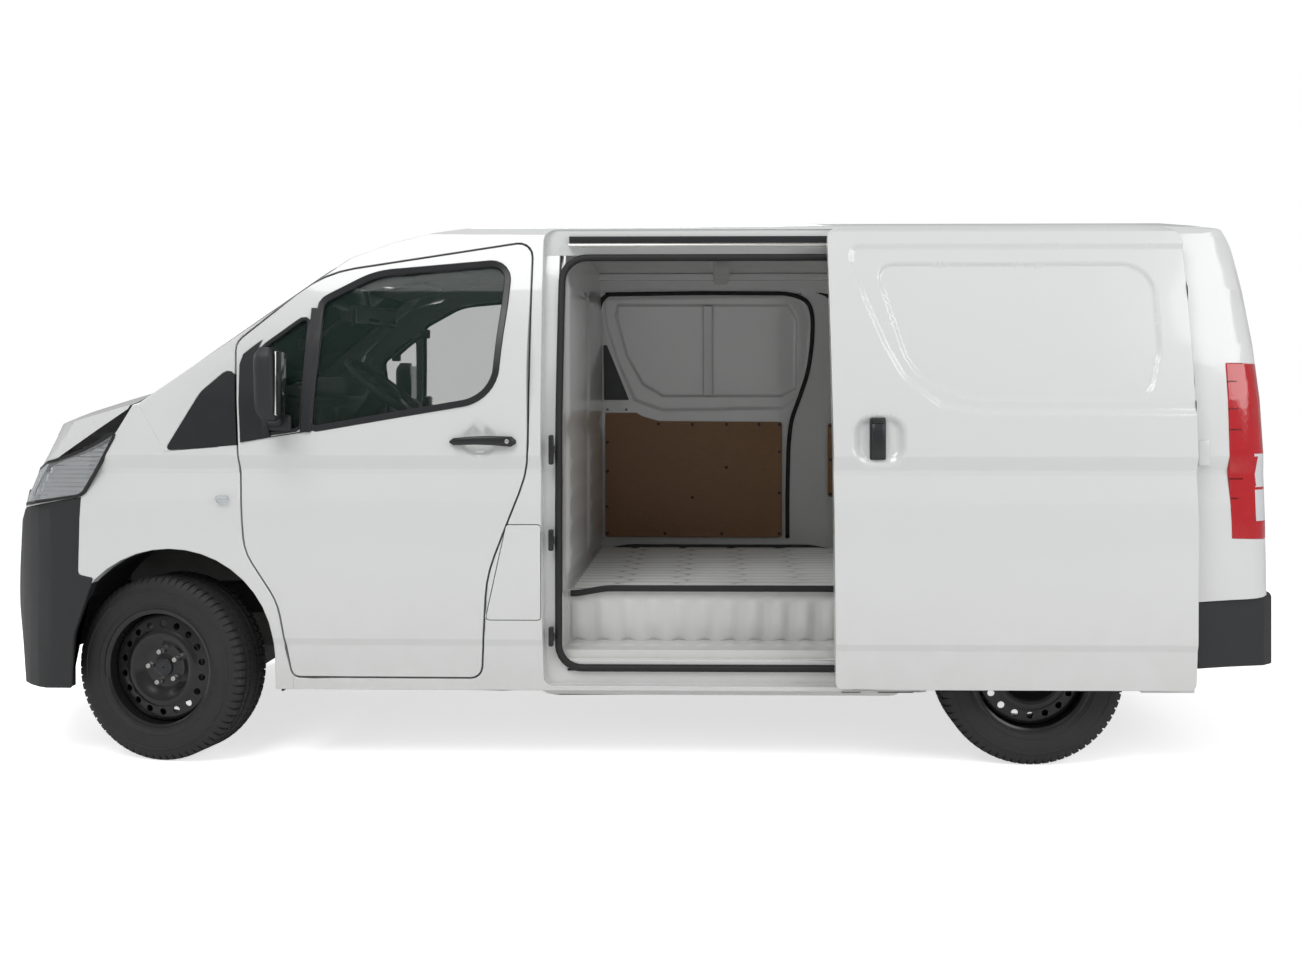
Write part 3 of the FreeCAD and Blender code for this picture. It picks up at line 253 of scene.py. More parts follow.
STEEL = metal("zinc_steel", (0.55, 0.54, 0.52), 0.34)
CHASSIS = metal("chassis_paint", (0.03, 0.03, 0.031), 0.55, 0.1, 120.0, 0.3, 0.3)
CAST = metal("rough_casting", (0.22, 0.215, 0.21), 0.6, 0.7, 160.0, 0.5, 0.25)
PIPE = metal("dull_exhaust_steel", (0.40, 0.37, 0.33), 0.45, 0.9, 40.0, 0.15, 0.25)
TANK = plastic("moulded_tank", (0.03, 0.03, 0.03), 0.55, 160.0, 0.2)
DASH = plastic("dark_dash_plastic", (0.05, 0.05, 0.053), 0.6, 900.0, 0.3)
DASH_PALE = plastic("grey_dash_plastic", (0.16, 0.16, 0.165), 0.58, 900.0, 0.25)
SEAT = cloth("seat_cloth", (0.045, 0.046, 0.052))
WOOD = plywood("brown_plywood")
GLASS = tinted("green_tinted_glass", (0.04, 0.075, 0.06), 0.83)
CLEAR = tinted("clear_lens", (0.75, 0.78, 0.8), 0.86, 0.03)
RED = lamp_plastic("red_lens", (0.50, 0.006, 0.012))
MIRROR = metal("mirror_glass", (0.8, 0.82, 0.83), 0.04, 1.0, 8.0, 0.005, 0.02)
PLATE = paint("blank_plate", (0.62, 0.63, 0.62), 0.35, 0.1)


# Meshes
def loose(name, mesh):
    """An object of a bmesh or mesh, with nothing said about it yet."""
    if isinstance(mesh, bmesh.types.BMesh):
        data = bpy.data.meshes.new(name)
        mesh.to_mesh(data)
        mesh.free()
        mesh = data
    made = bpy.data.objects.new(name, mesh)
    bpy.context.scene.collection.objects.link(made)
    return made


def piece(name, mesh, material, body, replaced=(), crisp=None):
    """A finished object riding on its body, shaded crisply across edges sharper than crisp degrees."""
    made = loose(name, mesh)
    data = made.data
    data.materials.clear()
    data.materials.append(material)
    data.polygons.foreach_set("use_smooth", [True] * len(data.polygons))
    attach(made, body)
    if replaced:
        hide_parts(*replaced)
    if crisp:
        sharpened(data, crisp)
    return made


def sharpened(mesh, degrees):
    """Smooth shading that stays crisp across edges sharper than the angle."""
    bm = bmesh.new()
    bm.from_mesh(mesh)
    limit = math.radians(degrees)
    for edge in bm.edges:
        edge.smooth = len(edge.link_faces) == 2 and edge.calc_face_angle(0.0) < limit
    bm.to_mesh(mesh)
    bm.free()


def with_modifiers(source):
    """The evaluated mesh of an object, which is then removed."""
    graph = bpy.context.evaluated_depsgraph_get()
    data = bpy.data.meshes.new_from_object(source.evaluated_get(graph))
    bpy.data.objects.remove(source)
    return data


BAR_SIDES = 14


def grid_faces(bm, rows, close_rows=False, close_columns=False):
    """Quads over rows of points."""
    verts = [[bm.verts.new(point) for point in row] for row in rows]
    height, width = len(verts), len(verts[0])
    for i in range(height if close_rows else height - 1):
        for j in range(width if close_columns else width - 1):
            bm.faces.new((verts[i][j], verts[i][(j + 1) % width],
                          verts[(i + 1) % height][(j + 1) % width], verts[(i + 1) % height][j]))
    return verts


def skinned(rows, close_rows=False, close_columns=False, capped=False):
    """A new mesh of quads over rows of points, its open ends capped if asked."""
    bm = bmesh.new()
    verts = grid_faces(bm, rows, close_rows, close_columns)
    if capped:
        bm.faces.new(list(reversed(verts[0])))
        bm.faces.new(verts[-1])
    bmesh.ops.recalc_face_normals(bm, faces=bm.faces)
    return bm


def along(count, spot):
    """What spot gives for even shares from 0 to 1."""
    return [spot(k / count) for k in range(count + 1)]


def frames(points, up, closed=False):
    """Each point of a path with its side and its lift, the lift kept near the up given."""
    count = len(points)
    for index, point in enumerate(points):
        before = points[index - 1] if closed or index else point
        after = points[(index + 1) % count] if closed or index < count - 1 else point
        ahead = (after - before).normalized()
        side = ahead.cross(up).normalized()
        yield point, side, side.cross(ahead).normalized()


def swept(points, section, closed=False, up=ACROSS):
    """A bar of a 2-D section (side, lift) along points."""
    rows = [[point + side * a + lift * b for a, b in section]
            for point, side, lift in frames(points, up, closed)]
    return skinned(rows, closed, True, not closed)


def superellipse(turn, power):
    """The two coordinates of a superellipse at a turn."""
    c, s = math.cos(turn), math.sin(turn)
    return math.copysign(abs(c) ** (2 / power), c), math.copysign(abs(s) ** (2 / power), s)


def blended_sweep(points, half_widths, half_heights, power=2.6, up=ACROSS):
    """A bar of superellipse section whose half sizes change along it."""
    unit = [superellipse(math.tau * k / BAR_SIDES, power) for k in range(BAR_SIDES)]
    rows = []
    for (point, side, lift), wide, high in zip(frames(points, up), half_widths, half_heights):
        rows.append([point + side * (a * wide) + lift * (b * high) for a, b in unit])
    return skinned(rows, close_columns=True, capped=True)


def round_section(radius, count=10):
    turns = [math.tau * i / count for i in range(count)]
    return [(radius * math.cos(t), radius * math.sin(t)) for t in turns]


def bevelled_box(low, high, radius, segments=2):
    """A rounded block between two corners."""
    bm = bmesh.new()
    bmesh.ops.create_cube(bm, size=1.0)
    low, high = Vector(low), Vector(high)
    for vert in bm.verts:
        vert.co = Vector([low[i] + (vert.co[i] + 0.5) * (high[i] - low[i]) for i in range(3)])
    bmesh.ops.bevel(bm, geom=bm.edges[:], offset=radius, segments=segments, profile=0.5, affect="EDGES",
                    clamp_overlap=True)
    return bm


def handed_box(sign, low, high, radius, segments=2):
    """A rounded block given for the left side, on the side of the sign."""
    near, far = sorted((sign * low[1], sign * high[1]))
    return bevelled_box((low[0], near, low[2]), (high[0], far, high[2]), radius, segments)


def revolved(profile, count, centre=Vector((0, 0, 0))):
    """A (radius, offset) profile turned round the Y axis."""
    rows = []
    for step in range(count):
        turn = math.tau * step / count
        rows.append([centre + Vector((r * math.sin(turn), y, r * math.cos(turn))) for r, y in profile])
    return skinned(rows, True, True)


def turned_about(bm, axis, degrees):
    """The same mesh, turned about an axis through the origin."""
    bmesh.ops.transform(bm, matrix=Matrix.Rotation(math.radians(degrees), 4, axis), verts=bm.verts)
    return bm


def mirrored(bm):
    """The same mesh, mirrored to the other side."""
    for vert in bm.verts:
        vert.co.y = -vert.co.y
    bmesh.ops.reverse_faces(bm, faces=bm.faces)
    return bm


def thickened(bm, offset):
    """Extrudes a sheet by an offset, so that it becomes a closed plate."""
    made = bmesh.ops.extrude_face_region(bm, geom=bm.faces[:])
    for item in made["geom"]:
        if isinstance(item, bmesh.types.BMVert):
            item.co += offset
    bmesh.ops.recalc_face_normals(bm, faces=bm.faces)


def merged(*parts):
    """Several bmeshes as one."""
    whole = bmesh.new()
    for part in parts:
        data = bpy.data.meshes.new("part")
        part.to_mesh(data)
        part.free()
        whole.from_mesh(data)
        bpy.data.meshes.remove(data)
    return whole


def rounded(corners, step=8.0):
    """Points of an outline with an arc at each corner (a, b, radius), evenly spaced in millimetres."""
    spots = [Vector((a, b)) for a, b, _ in corners]
    points = []
    for index, spot in enumerate(spots):
        radius = corners[index][2]
        if radius == 0:
            points.append(spot)
            continue
        back = (spots[index - 1] - spot).normalized()
        ahead = (spots[(index + 1) % len(spots)] - spot).normalized()
        half = math.acos(max(-1.0, min(1.0, back.dot(ahead)))) / 2
        reach = radius / math.tan(half)
        centre = spot + (back + ahead).normalized() * (radius / math.sin(half))
        start, end = spot + back * reach - centre, spot + ahead * reach - centre
        sweep = math.pi - 2 * half
        flats = max(2, math.ceil(sweep * radius / step))
        for k in range(flats + 1):
            share = k / flats
            near, far = math.sin((1 - share) * sweep), math.sin(share * sweep)
            points.append(centre + (start * near + end * far) / math.sin(sweep))
    return points


def resampled(points, spacing, closed=True):
    """Points at even spacing along a polyline."""
    loop = points + [points[0]] if closed else points
    lengths = [0.0]
    for a, b in zip(loop, loop[1:]):
        lengths.append(lengths[-1] + (b - a).length)
    count = max(3, round(lengths[-1] / spacing))
    result, index = [], 0
    for step in range(count if closed else count + 1):
        target = lengths[-1] * step / count
        while index < len(lengths) - 2 and lengths[index + 1] < target:
            index += 1
        span = lengths[index + 1] - lengths[index]
        share = (target - lengths[index]) / span if span else 0.0
        result.append(loop[index].lerp(loop[index + 1], share))
    return result


# Body panels, refined and softened from the CAD meshes
def cut_along(bm, axis, values, faces=None):
    normal = Vector([1.0 if i == axis else 0.0 for i in range(3)])
    for value in values:
        if faces is None:
            geometry = bm.verts[:] + bm.edges[:] + bm.faces[:]
        else:
            chosen = faces(bm)
            verts = {vert for face in chosen for vert in face.verts}
            edges = {edge for face in chosen for edge in face.edges}
            geometry = [*verts, *edges, *chosen]
        bmesh.ops.bisect_plane(bm, geom=geometry, dist=1e-6, plane_co=normal * value, plane_no=normal)


def steps(low, high, gap):
    count = max(1, math.ceil((high - low) / gap))
    return [low + (high - low) * (i + 0.37) / count for i in range(count)]


FORM_LINES = (1.075, 1.145)
SOFT = math.radians(22)


def soft_groups(bm, limit):
    """A group number for each face: faces share one where the surface runs smoothly between them."""
    group = [-1] * len(bm.faces)
    current = 0
    for seed in bm.faces:
        if group[seed.index] >= 0:
            continue
        stack = [seed]
        group[seed.index] = current
        while stack:
            face = stack.pop()
            for edge in face.edges:
                if len(edge.link_faces) != 2:
                    continue
                other = edge.link_faces[0] if edge.link_faces[1] is face else edge.link_faces[1]
                if group[other.index] < 0 and edge.calc_face_angle(0.0) < limit and not on_form_line(edge):
                    group[other.index] = current
                    stack.append(other)
        current += 1
    return np.array(group)


def on_form_line(edge):
    a, b = edge.verts[0].co, edge.verts[1].co
    if abs(a.z - b.z) > 2e-4 or abs(a.y) < 0.93:
        return False
    return any(abs(a.z - z) < 4e-4 for z in FORM_LINES)


def soft_normals(bm, rounds, limit):
    """Loop normals averaged over each smooth group, and the group's vertex normals for pressings."""
    bm.verts.index_update()
    bm.faces.index_update()
    bm.faces.ensure_lookup_table()
    groups = soft_groups(bm, limit)
    keys, normals = {}, []
    loops, links = [], set()
    for face in bm.faces:
        group = groups[face.index]
        area = face.calc_area()
        ids = []
        for vert in face.verts:
            key = (vert.index, group)
            if key not in keys:
                keys[key] = len(normals)
                normals.append(np.zeros(3))
            index = keys[key]
            normals[index] += np.array(face.normal) * (area + 1e-9)
            ids.append(index)
        loops.append(ids)
        for a, b in zip(ids, ids[1:] + ids[:1]):
            links.add((min(a, b), max(a, b)))
    normals = np.array(normals)
    normals /= np.maximum(np.linalg.norm(normals, axis=1, keepdims=True), 1e-12)
    pairs = np.array(sorted(links))
    for _ in range(rounds):
        total = normals * 1.5
        np.add.at(total, pairs[:, 0], normals[pairs[:, 1]])
        np.add.at(total, pairs[:, 1], normals[pairs[:, 0]])
        normals = total / np.maximum(np.linalg.norm(total, axis=1, keepdims=True), 1e-12)
    return loops, normals, keys


SHARP = math.radians(40)
SIDEWAYS = 0.6


def refined(node, gap, bevel, fine, mend, inside):
    """A copy of a node's mesh, its sharp edges rounded, cut by an even grid."""
    bm = bmesh.new()
    bm.from_mesh(NODES[node].data)
    bmesh.ops.remove_doubles(bm, verts=bm.verts, dist=2e-5)
    if mend:
        mend(bm)
    bmesh.ops.dissolve_limit(bm, angle_limit=math.radians(0.5), verts=bm.verts, edges=bm.edges)
    if bevel:
        sharp = [edge for edge in bm.edges if edge.is_manifold and edge.calc_face_angle(0.0) > SHARP]
        bmesh.ops.bevel(bm, geom=sharp, offset=bevel, segments=1, profile=0.5, affect="EDGES",
                        clamp_overlap=False)
        bmesh.ops.remove_doubles(bm, verts=bm.verts, dist=1e-5)
    bmesh.ops.triangulate(bm, faces=bm.faces)
    low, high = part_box(node)
    for axis in range(3):
        if high[axis] - low[axis] > gap * 1.5:
            cut_along(bm, axis, steps(low[axis], high[axis], gap))
    if fine:
        fine(bm)
    if inside:
        open_up(bm, inside)
    bmesh.ops.triangulate(bm, faces=[face for face in bm.faces if len(face.verts) > 4])
    return bm


def open_up(bm, inside):
    """Cuts a skin finely about an opening, given by its depth inside it, and takes that part out."""
    for limit in ((0.032, 0.016, 0.008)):
        chosen = []
        for edge in bm.edges:
            length = edge.calc_length()
            if length > limit and abs(inside((edge.verts[0].co + edge.verts[1].co) / 2)) < length:
                chosen.append(edge)
        bmesh.ops.subdivide_edges(bm, edges=chosen, cuts=1)
        bmesh.ops.triangulate(bm, faces=[face for face in bm.faces if len(face.verts) > 3])
    gone = [face for face in bm.faces if inside(face.calc_center_median()) > 0.0]
    bmesh.ops.delete(bm, geom=gone, context="FACES")


def press_in(bm, keys, normals, press, inner, crease):
    """Moves a skin's points in by the depth of its pressed forms, and bends its normals to suit."""
    outer = {}
    for (vert, _), index in keys.items():
        outer.setdefault(vert, []).append(index)
    bm.verts.ensure_lookup_table()
    for vert, ids in outer.items():
        point = bm.verts[vert].co
        side = math.copysign(1.0, point.y)
        out = max(normals[index][1] * side for index in ids)
        into = min(normals[index][1] * side for index in ids)
        facing = 1.0 if out > SIDEWAYS else -1.0 if into < -SIDEWAYS else 0.0
        form = press if facing > 0 else inner
        depth, slope_x, slope_z = form(point) if form and facing else (0.0, 0.0, 0.0)
        if crease and facing > 0:
            more, slope = waist_lines(point.z)
            depth += more
            slope_z += slope
        if depth == 0.0 and slope_x == 0.0 and slope_z == 0.0:
            continue
        point.y -= side * depth * facing
        for index in ids:
            normal = normals[index]
            if normal[1] * side * facing > 0.5:
                bent = normal / abs(normal[1]) + np.array((slope_x, 0.0, slope_z))
                normals[index] = bent / np.linalg.norm(bent)


def panel(name, node, material, body, gap=0.07, bevel=0.0018, rounds=9, press=None, fine=None,
          warp=None, inner=None, crease=False, mend=None, inside=None):
    """Stand a softened copy of a panel in its place, with pressed forms where press gives a depth."""
    bm = refined(node, gap, bevel, fine, mend, inside)
    if warp:
        for vert in bm.verts:
            vert.co = warp(vert.co)
    loops, normals, keys = soft_normals(bm, rounds, SOFT)
    if press or inner or crease:
        press_in(bm, keys, normals, press, inner, crease)
    data = bpy.data.meshes.new(name)
    bm.to_mesh(data)
    bm.free()
    made = piece(name, data, material, body, (node,))
    flat = [tuple(normals[index]) for ids in loops for index in ids]
    data.normals_split_custom_set(flat)
    return made


SIDE_HEIGHTS = (0.30, 0.43, 0.935, 1.09, 1.15, 1.30, 1.50, 1.70, 1.90, 1.96, 2.00)
SIDE_WIDTHS = (0.955, 0.968, 0.974, 0.962, 0.970, 0.960, 0.925, 0.885, 0.835, 0.800, 0.760)


def side_y(z):
    """Half width of the body's side at a height."""
    return float(np.interp(z, SIDE_HEIGHTS, SIDE_WIDTHS))


def smooth_step(t):
    t = min(1.0, max(0.0, t))
    return t * t * (3 - 2 * t)


def outline_distance(points):
    """Signed distance to a closed outline in (x, z) metres, positive inside."""
    spots = np.array([(p.x, p.y) for p in points])
    following = np.roll(spots, -1, axis=0)
    edges = following - spots
    squares = (edges ** 2).sum(1)

    def distance(x, z):
        to = np.array((x, z)) - spots
        share = np.clip((to * edges).sum(1) / squares, 0, 1)
        gaps = to - edges * share[:, None]
        nearest = math.sqrt((gaps ** 2).sum(1).min())
        crosses = ((spots[:, 1] > z) != (following[:, 1] > z)) & (
            x < (following[:, 0] - spots[:, 0]) * (z - spots[:, 1]) / (
                np.where(edges[:, 1] == 0, 1e-12, edges[:, 1])) + spots[:, 0])
        return nearest if crosses.sum() % 2 else -nearest

    return distance


def pressing(shapes, shift_x=0.0):
    """A press function from (outline, depth, edge width) shapes given in metres."""
    fields = []
    for points, depth, width in shapes:
        xs, zs = [p.x for p in points], [p.y for p in points]
        box = (min(xs) - width, max(xs) + width, min(zs) - width, max(zs) + width)
        fields.append((outline_distance(points), depth, width, box))

    def depth_at(x, z):
        total = 0.0
        for distance, depth, width, box in fields:
            if box[0] < x < box[1] and box[2] < z < box[3]:
                total += depth * smooth_step((distance(x, z) + width / 2) / width)
        return total

    def press(point):
        x, z = point.x - shift_x, point.z
        step = 0.001
        here = depth_at(x, z)
        slope_x = (depth_at(x + step, z) - depth_at(x - step, z)) / (2 * step)
        slope_z = (depth_at(x, z + step) - depth_at(x, z - step)) / (2 * step)
        return here, slope_x, slope_z

    return press, fields


WAIST = ((0.975, 1.092, 0.0, 0.011), (1.092, 1.143, 0.011, 0.0))
TUCK_HIGH, TUCK_LOW, TUCK_SLOPE, TUCK_DEPTH = 0.468, 0.443, 0.28, 0.007


def waist_lines(z):
    """Depth and upright slope of the creases along the body's waist and sill."""
    depth = slope = 0.0
    for low, high, near, far in WAIST:
        if low <= z < high:
            depth += near + (far - near) * (z - low) / (high - low)
            slope += (far - near) / (high - low)
    if z < TUCK_HIGH:
        depth += min(TUCK_DEPTH, (TUCK_HIGH - z) * TUCK_SLOPE)
        slope -= TUCK_SLOPE if z > TUCK_LOW else 0.0
    return depth, slope


CREASES = (1.147, 1.1395, 1.0955, 1.0885, 0.979, 0.971, 0.4715, 0.4645, 0.4465, 0.4395)


def fine_bands(fields, shift_x=0.0, inward=False, finest=0.008):
    """Cuts a skin finely along the edges of its pressed shapes, and at its crease lines."""
    limits = ((0.032, 0.016, finest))

    def cut(bm):
        cut_along(bm, 2, CREASES)
        for limit in limits:
            bm.normal_update()
            chosen = []
            for edge in bm.edges:
                if edge.calc_length() < limit:
                    continue
                middle = (edge.verts[0].co + edge.verts[1].co) / 2
                side = math.copysign(1.0, middle.y) * (-1.0 if inward else 1.0)
                if max(face.normal.y * side for face in edge.link_faces) < SIDEWAYS:
                    continue
                x, z = middle.x - shift_x, middle.z
                reach = edge.calc_length() * 0.5
                for distance, _, width, box in fields:
                    if box[0] - reach < x < box[1] + reach and box[2] - reach < z < box[3] + reach:
                        if abs(distance(x, z)) < width / 2 + reach:
                            chosen.append(edge)
                            break
            bmesh.ops.subdivide_edges(bm, edges=chosen, cuts=1)
            bmesh.ops.triangulate(bm, faces=[face for face in bm.faces if len(face.verts) > 3])
    return cut


def metres(points):
    return [Vector((row_x(p.x), p.y / 1000)) for p in points]


# Camera, light, floor
EYE = (-0.365, 5.675, 1.354)
EYE_TURN = 1.0
SENSOR, LENS = 36.0, 35.6
SHIFT = (-0.0289, -0.0696)
LIGHTS = (
    ("key_light", (2.5, 6.0, 8.0), (0.0, 0.0, 0.9), 5.0, 330.0),
    ("fill_light", (-5.5, 4.5, 4.0), (-0.5, 0.0, 0.9), 4.0, 120.0),
    ("far_light", (1.0, -6.0, 5.5), (0.0, 0.0, 0.9), 5.0, 200.0),
    ("front_light", (7.0, 0.5, 3.5), (1.5, 0.0, 0.9), 3.5, 90.0),
)
WORLD_GLOW, FLOOR_GLOW = 0.36, 0.68
FLOOR_COLOR, FLOOR_HALF = 0.93, 30


def camera():
    """The camera that took the photograph."""
    view = bpy.data.cameras.new("photo_camera")
    view.sensor_width, view.lens = SENSOR, LENS
    view.shift_x, view.shift_y = SHIFT
    view.clip_start, view.clip_end = 0.05, 200.0
    made = bpy.data.objects.new("photo_camera", view)
    bpy.context.scene.collection.objects.link(made)
    turn = math.radians(EYE_TURN)
    ahead = Vector((math.sin(turn), -math.cos(turn), 0.0))
    right = Vector((-math.cos(turn), -math.sin(turn), 0.0))
    made.matrix_world = Matrix.Translation(EYE) @ Matrix((right, UP, -ahead)).transposed().to_4x4()
    bpy.context.scene.camera = made


def lights():
    for name, place, aim, size, power in LIGHTS:
        lamp = bpy.data.lights.new(name, "AREA")
        lamp.shape, lamp.size, lamp.energy = "DISK", size, power
        holder = bpy.data.objects.new(name, lamp)
        holder.location = place
        holder.rotation_euler = (Vector(place) - Vector(aim)).to_track_quat("Z", "Y").to_euler()
        bpy.context.scene.collection.objects.link(holder)


def surroundings():
    """A white background that lights the van only a little."""
    world = bpy.data.worlds.new("studio")
    bpy.context.scene.world = world
    world.use_nodes = True
    tree = world.node_tree
    back = tree.nodes["Background"]
    paths = tree.nodes.new("ShaderNodeLightPath")
    seen = tree.nodes.new("ShaderNodeMath")
    seen.operation = "MAXIMUM"
    tree.links.new(paths.outputs["Is Camera Ray"], seen.inputs[0])
    tree.links.new(paths.outputs["Is Transmission Ray"], seen.inputs[1])
    glossy = tree.nodes.new("ShaderNodeMapRange")
    glossy.inputs["To Min"].default_value = WORLD_GLOW
    glossy.inputs["To Max"].default_value = 1.0
    tree.links.new(seen.outputs[0], glossy.inputs["Value"])
    tree.links.new(glossy.outputs["Result"], back.inputs["Strength"])
    back.inputs["Color"].default_value = (1.0, 1.0, 1.0, 1.0)


def ground():
    """A pale floor that catches the van's shadow."""
    floor = bpy.data.meshes.new("studio_floor")
    corners = [(x * FLOOR_HALF, y * FLOOR_HALF, 0) for x, y in ((-1, -1), (1, -1), (1, 1), (-1, 1))]
    floor.from_pydata(corners, [], [(0, 1, 2, 3)])
    stage = bpy.data.objects.new("studio_floor", floor)
    bpy.context.scene.collection.objects.link(stage)
    plain = bpy.data.materials.new("studio_floor")
    plain.use_nodes = True
    tree = plain.node_tree
    shader = tree.nodes["Principled BSDF"]
    shader.inputs["Base Color"].default_value = (FLOOR_COLOR, FLOOR_COLOR, FLOOR_COLOR, 1)
    shader.inputs["Roughness"].default_value = 0.9
    shader.inputs["Specular IOR Level"].default_value = 0.1
    paths = tree.nodes.new("ShaderNodeLightPath")
    glow = tree.nodes.new("ShaderNodeMath")
    glow.operation = "MULTIPLY"
    glow.inputs[1].default_value = FLOOR_GLOW
    tree.links.new(paths.outputs["Is Camera Ray"], glow.inputs[0])
    tree.links.new(glow.outputs[0], shader.inputs["Emission Strength"])
    shader.inputs["Emission Color"].default_value = (1, 1, 1, 1)
    floor.materials.append(plain)


bpy.context.scene.view_settings.view_transform = "Standard"
camera()
lights()
surroundings()
ground()


def tree_of(*nodes):
    """One ray-casting tree over several CAD nodes."""
    verts, faces = [], []
    for node in nodes:
        data = NODES[node].data
        start = len(verts)
        verts += [vert.co.copy() for vert in data.vertices]
        faces += [[start + index for index in face.vertices] for face in data.polygons]
    return BVHTree.FromPolygons(verts, faces)


def on_skin(tree, x, z, side, sink=0.0, default=0.96):
    """A point on the outer side skin at this place, sunk by a distance."""
    hit = tree.ray_cast(Vector((x, side * 1.3, z)), Vector((0, -side, 0)))[0]
    y = abs(hit.y) if hit else default
    return Vector((x, side * (y - sink), z))


NOSE_FROM, NOSE_RUN = 2.02, 0.32
NOSE_BACK = 0.044
TAIL_FROM, TAIL_RUN = -2.20, 0.12
TAIL_OUT = 0.032
BUMPER_LOW, BUMPER_HIGH, BUMPER_FRONT = 0.30, 0.90, -3.690
BUMPER_EDGE = ((-4.053, -3.909, -3.790), (0.631, 0.595, 0.576))
RAISED_EDGE = ((-4.053, -3.790), (0.631, 0.611))
SILL_LOW, SILL, SILL_HIGH = 1.15, 1.238, 1.80
SILL_FRONT, SILL_RUN, SILL_RISE = row_x(-540), 0.688, 0.122


def nose_warp(p):
    """Draws the corners of the nose back, as in the photograph."""
    if p.x > NOSE_FROM:
        p.x -= NOSE_BACK * smooth_step((p.x - NOSE_FROM) / NOSE_RUN) * smooth_step((abs(p.y) - 0.16) / 0.45)
    return p


def raised_end(p):
    """Raises the front end of the rear bumper's upper edge."""
    behind = p.x - row_x(0)
    if behind < BUMPER_FRONT and BUMPER_LOW < p.z < BUMPER_HIGH:
        edge = float(np.interp(behind, *BUMPER_EDGE))
        rise = float(np.interp(behind, *RAISED_EDGE)) - edge
        rise *= smooth_step((BUMPER_FRONT - behind) / 0.1)
        if p.z < edge:
            p.z += rise * (p.z - BUMPER_LOW) / (edge - BUMPER_LOW)
        else:
            p.z += rise * (BUMPER_HIGH - p.z) / (BUMPER_HIGH - edge)
    return p


def tail_warp(p):
    """Squares the rear corners above the bumper."""
    p = raised_end(p)
    if p.x < TAIL_FROM:
        p.x -= TAIL_OUT * smooth_step((TAIL_FROM - p.x) / TAIL_RUN) * smooth_step((abs(p.y) - 0.48) / 0.30)
    return p


def window_warp(p):
    """Raises the lower edge of the door's window towards the rear, along the skin."""
    if SILL_LOW < p.z < SILL_HIGH and p.x < SILL_FRONT:
        rise = SILL_RISE * min(1.0, (SILL_FRONT - p.x) / SILL_RUN)
        share = (p.z - SILL_LOW) / (SILL - SILL_LOW) if p.z < SILL else smooth_step((SILL_HIGH - p.z) / 0.50)
        high = p.z + rise * min(1.0, share)
        p.y += math.copysign(side_y(high) - side_y(p.z), p.y)
        p.z = high
    return p


# Nose: the closed bonnet and the lamps that wrap round its corners
NOSE_BOW, NOSE_REACH, CROWN = 1.600, 0.880, 3.0
NOSE_LEAN = ((0.60, 0.88, 0.975, 1.068, 1.205, 1.50), (0.0, 0.012, 0.034, 0.074, 0.150, 0.300))
BONNET_LINE = ((0.880, 0.975, 1.025, 1.082, 1.140, 1.197, 1.247, 1.288, 1.328, 1.370, 1.425, 1.560),
               (0.884, 0.858, 0.834, 0.800, 0.758, 0.704, 0.638, 0.566, 0.470, 0.350, 0.162, -0.520))
LAMP_AT = (row_x(175), 0.62)
LAMP_TURNS = (-17.0, 88.0)
LAMP_STEPS = (-17, -8, 12, 30, 45, 56, 69, 80, 88)
LAMP_TOP = (LAMP_STEPS, (0.990, 1.034, 1.066, 1.086, 1.103, 1.124, 1.160, 1.197, 1.226))
LAMP_FOOT = (LAMP_STEPS, (0.944, 0.936, 0.942, 0.955, 0.968, 0.980, 0.994, 1.116, 1.212))


def nose_front(y, z):
    """How far ahead of the front axle the nose reaches at this place."""
    bow = NOSE_BOW - float(np.interp(z, *NOSE_LEAN))
    rounded_front = NOSE_REACH - NOSE_BOW + math.sqrt(bow ** 2 - y ** 2)
    crowned_top = float(np.interp(z + CROWN - math.sqrt(CROWN ** 2 - y ** 2), *BONNET_LINE))
    return min(rounded_front, crowned_top)


def lamp_depth(p):
    """How far inside the outline of a headlamp a point of the nose lies."""
    if p.x < row_x(120) or abs(p.y) < 0.35:
        return -1.0
    turn = math.degrees(math.atan2(abs(p.y) - LAMP_AT[1], p.x - LAMP_AT[0]))
    top, foot = float(np.interp(turn, *LAMP_TOP)), float(np.interp(turn, *LAMP_FOOT))
    ends = min(turn - LAMP_TURNS[0], LAMP_TURNS[1] - turn) * 0.009
    return min(p.z - foot, top - p.z, ends) - 0.003


def hull_of(nodes, more=()):
    """The closed convex form round some CAD nodes, to cast rays on."""
    bm = bmesh.new()
    for node in nodes:
        for vert in NODES[node].data.vertices:
            bm.verts.new(vert.co)
    for spot in more:
        bm.verts.new(spot)
    bmesh.ops.convex_hull(bm, input=bm.verts)
    tree = BVHTree.FromBMesh(bm)
    bm.free()
    return tree


NOSE_SPOTS = [(row_x(0) + nose_front(0.05 * y, 1.0 + 0.02 * z), 0.05 * y, 1.0 + 0.02 * z)
              for y in range(-19, 20) for z in range(16)]
NOSE_HULL = hull_of(("headlamps", "front_bumper", "front_wings", "bonnet", "front_panel"), NOSE_SPOTS)


SKIN_GAP, SKIN_FACING = 0.006, 0.7
PATCH_CUTS = [0.03 * step for step in range(-34, 46)]


def boundary_loops(bm):
    """The runs of open edges that hang together, the longest last."""
    edges = {edge for edge in bm.edges if edge.is_boundary}
    loops = []
    while edges:
        loop = [edges.pop()]
        for edge in loop:
            for vert in edge.verts:
                for other in vert.link_edges:
                    if other in edges:
                        edges.remove(other)
                        loop.append(other)
        loops.append(loop)
    return sorted(loops, key=lambda loop: sum(edge.calc_length() for edge in loop))


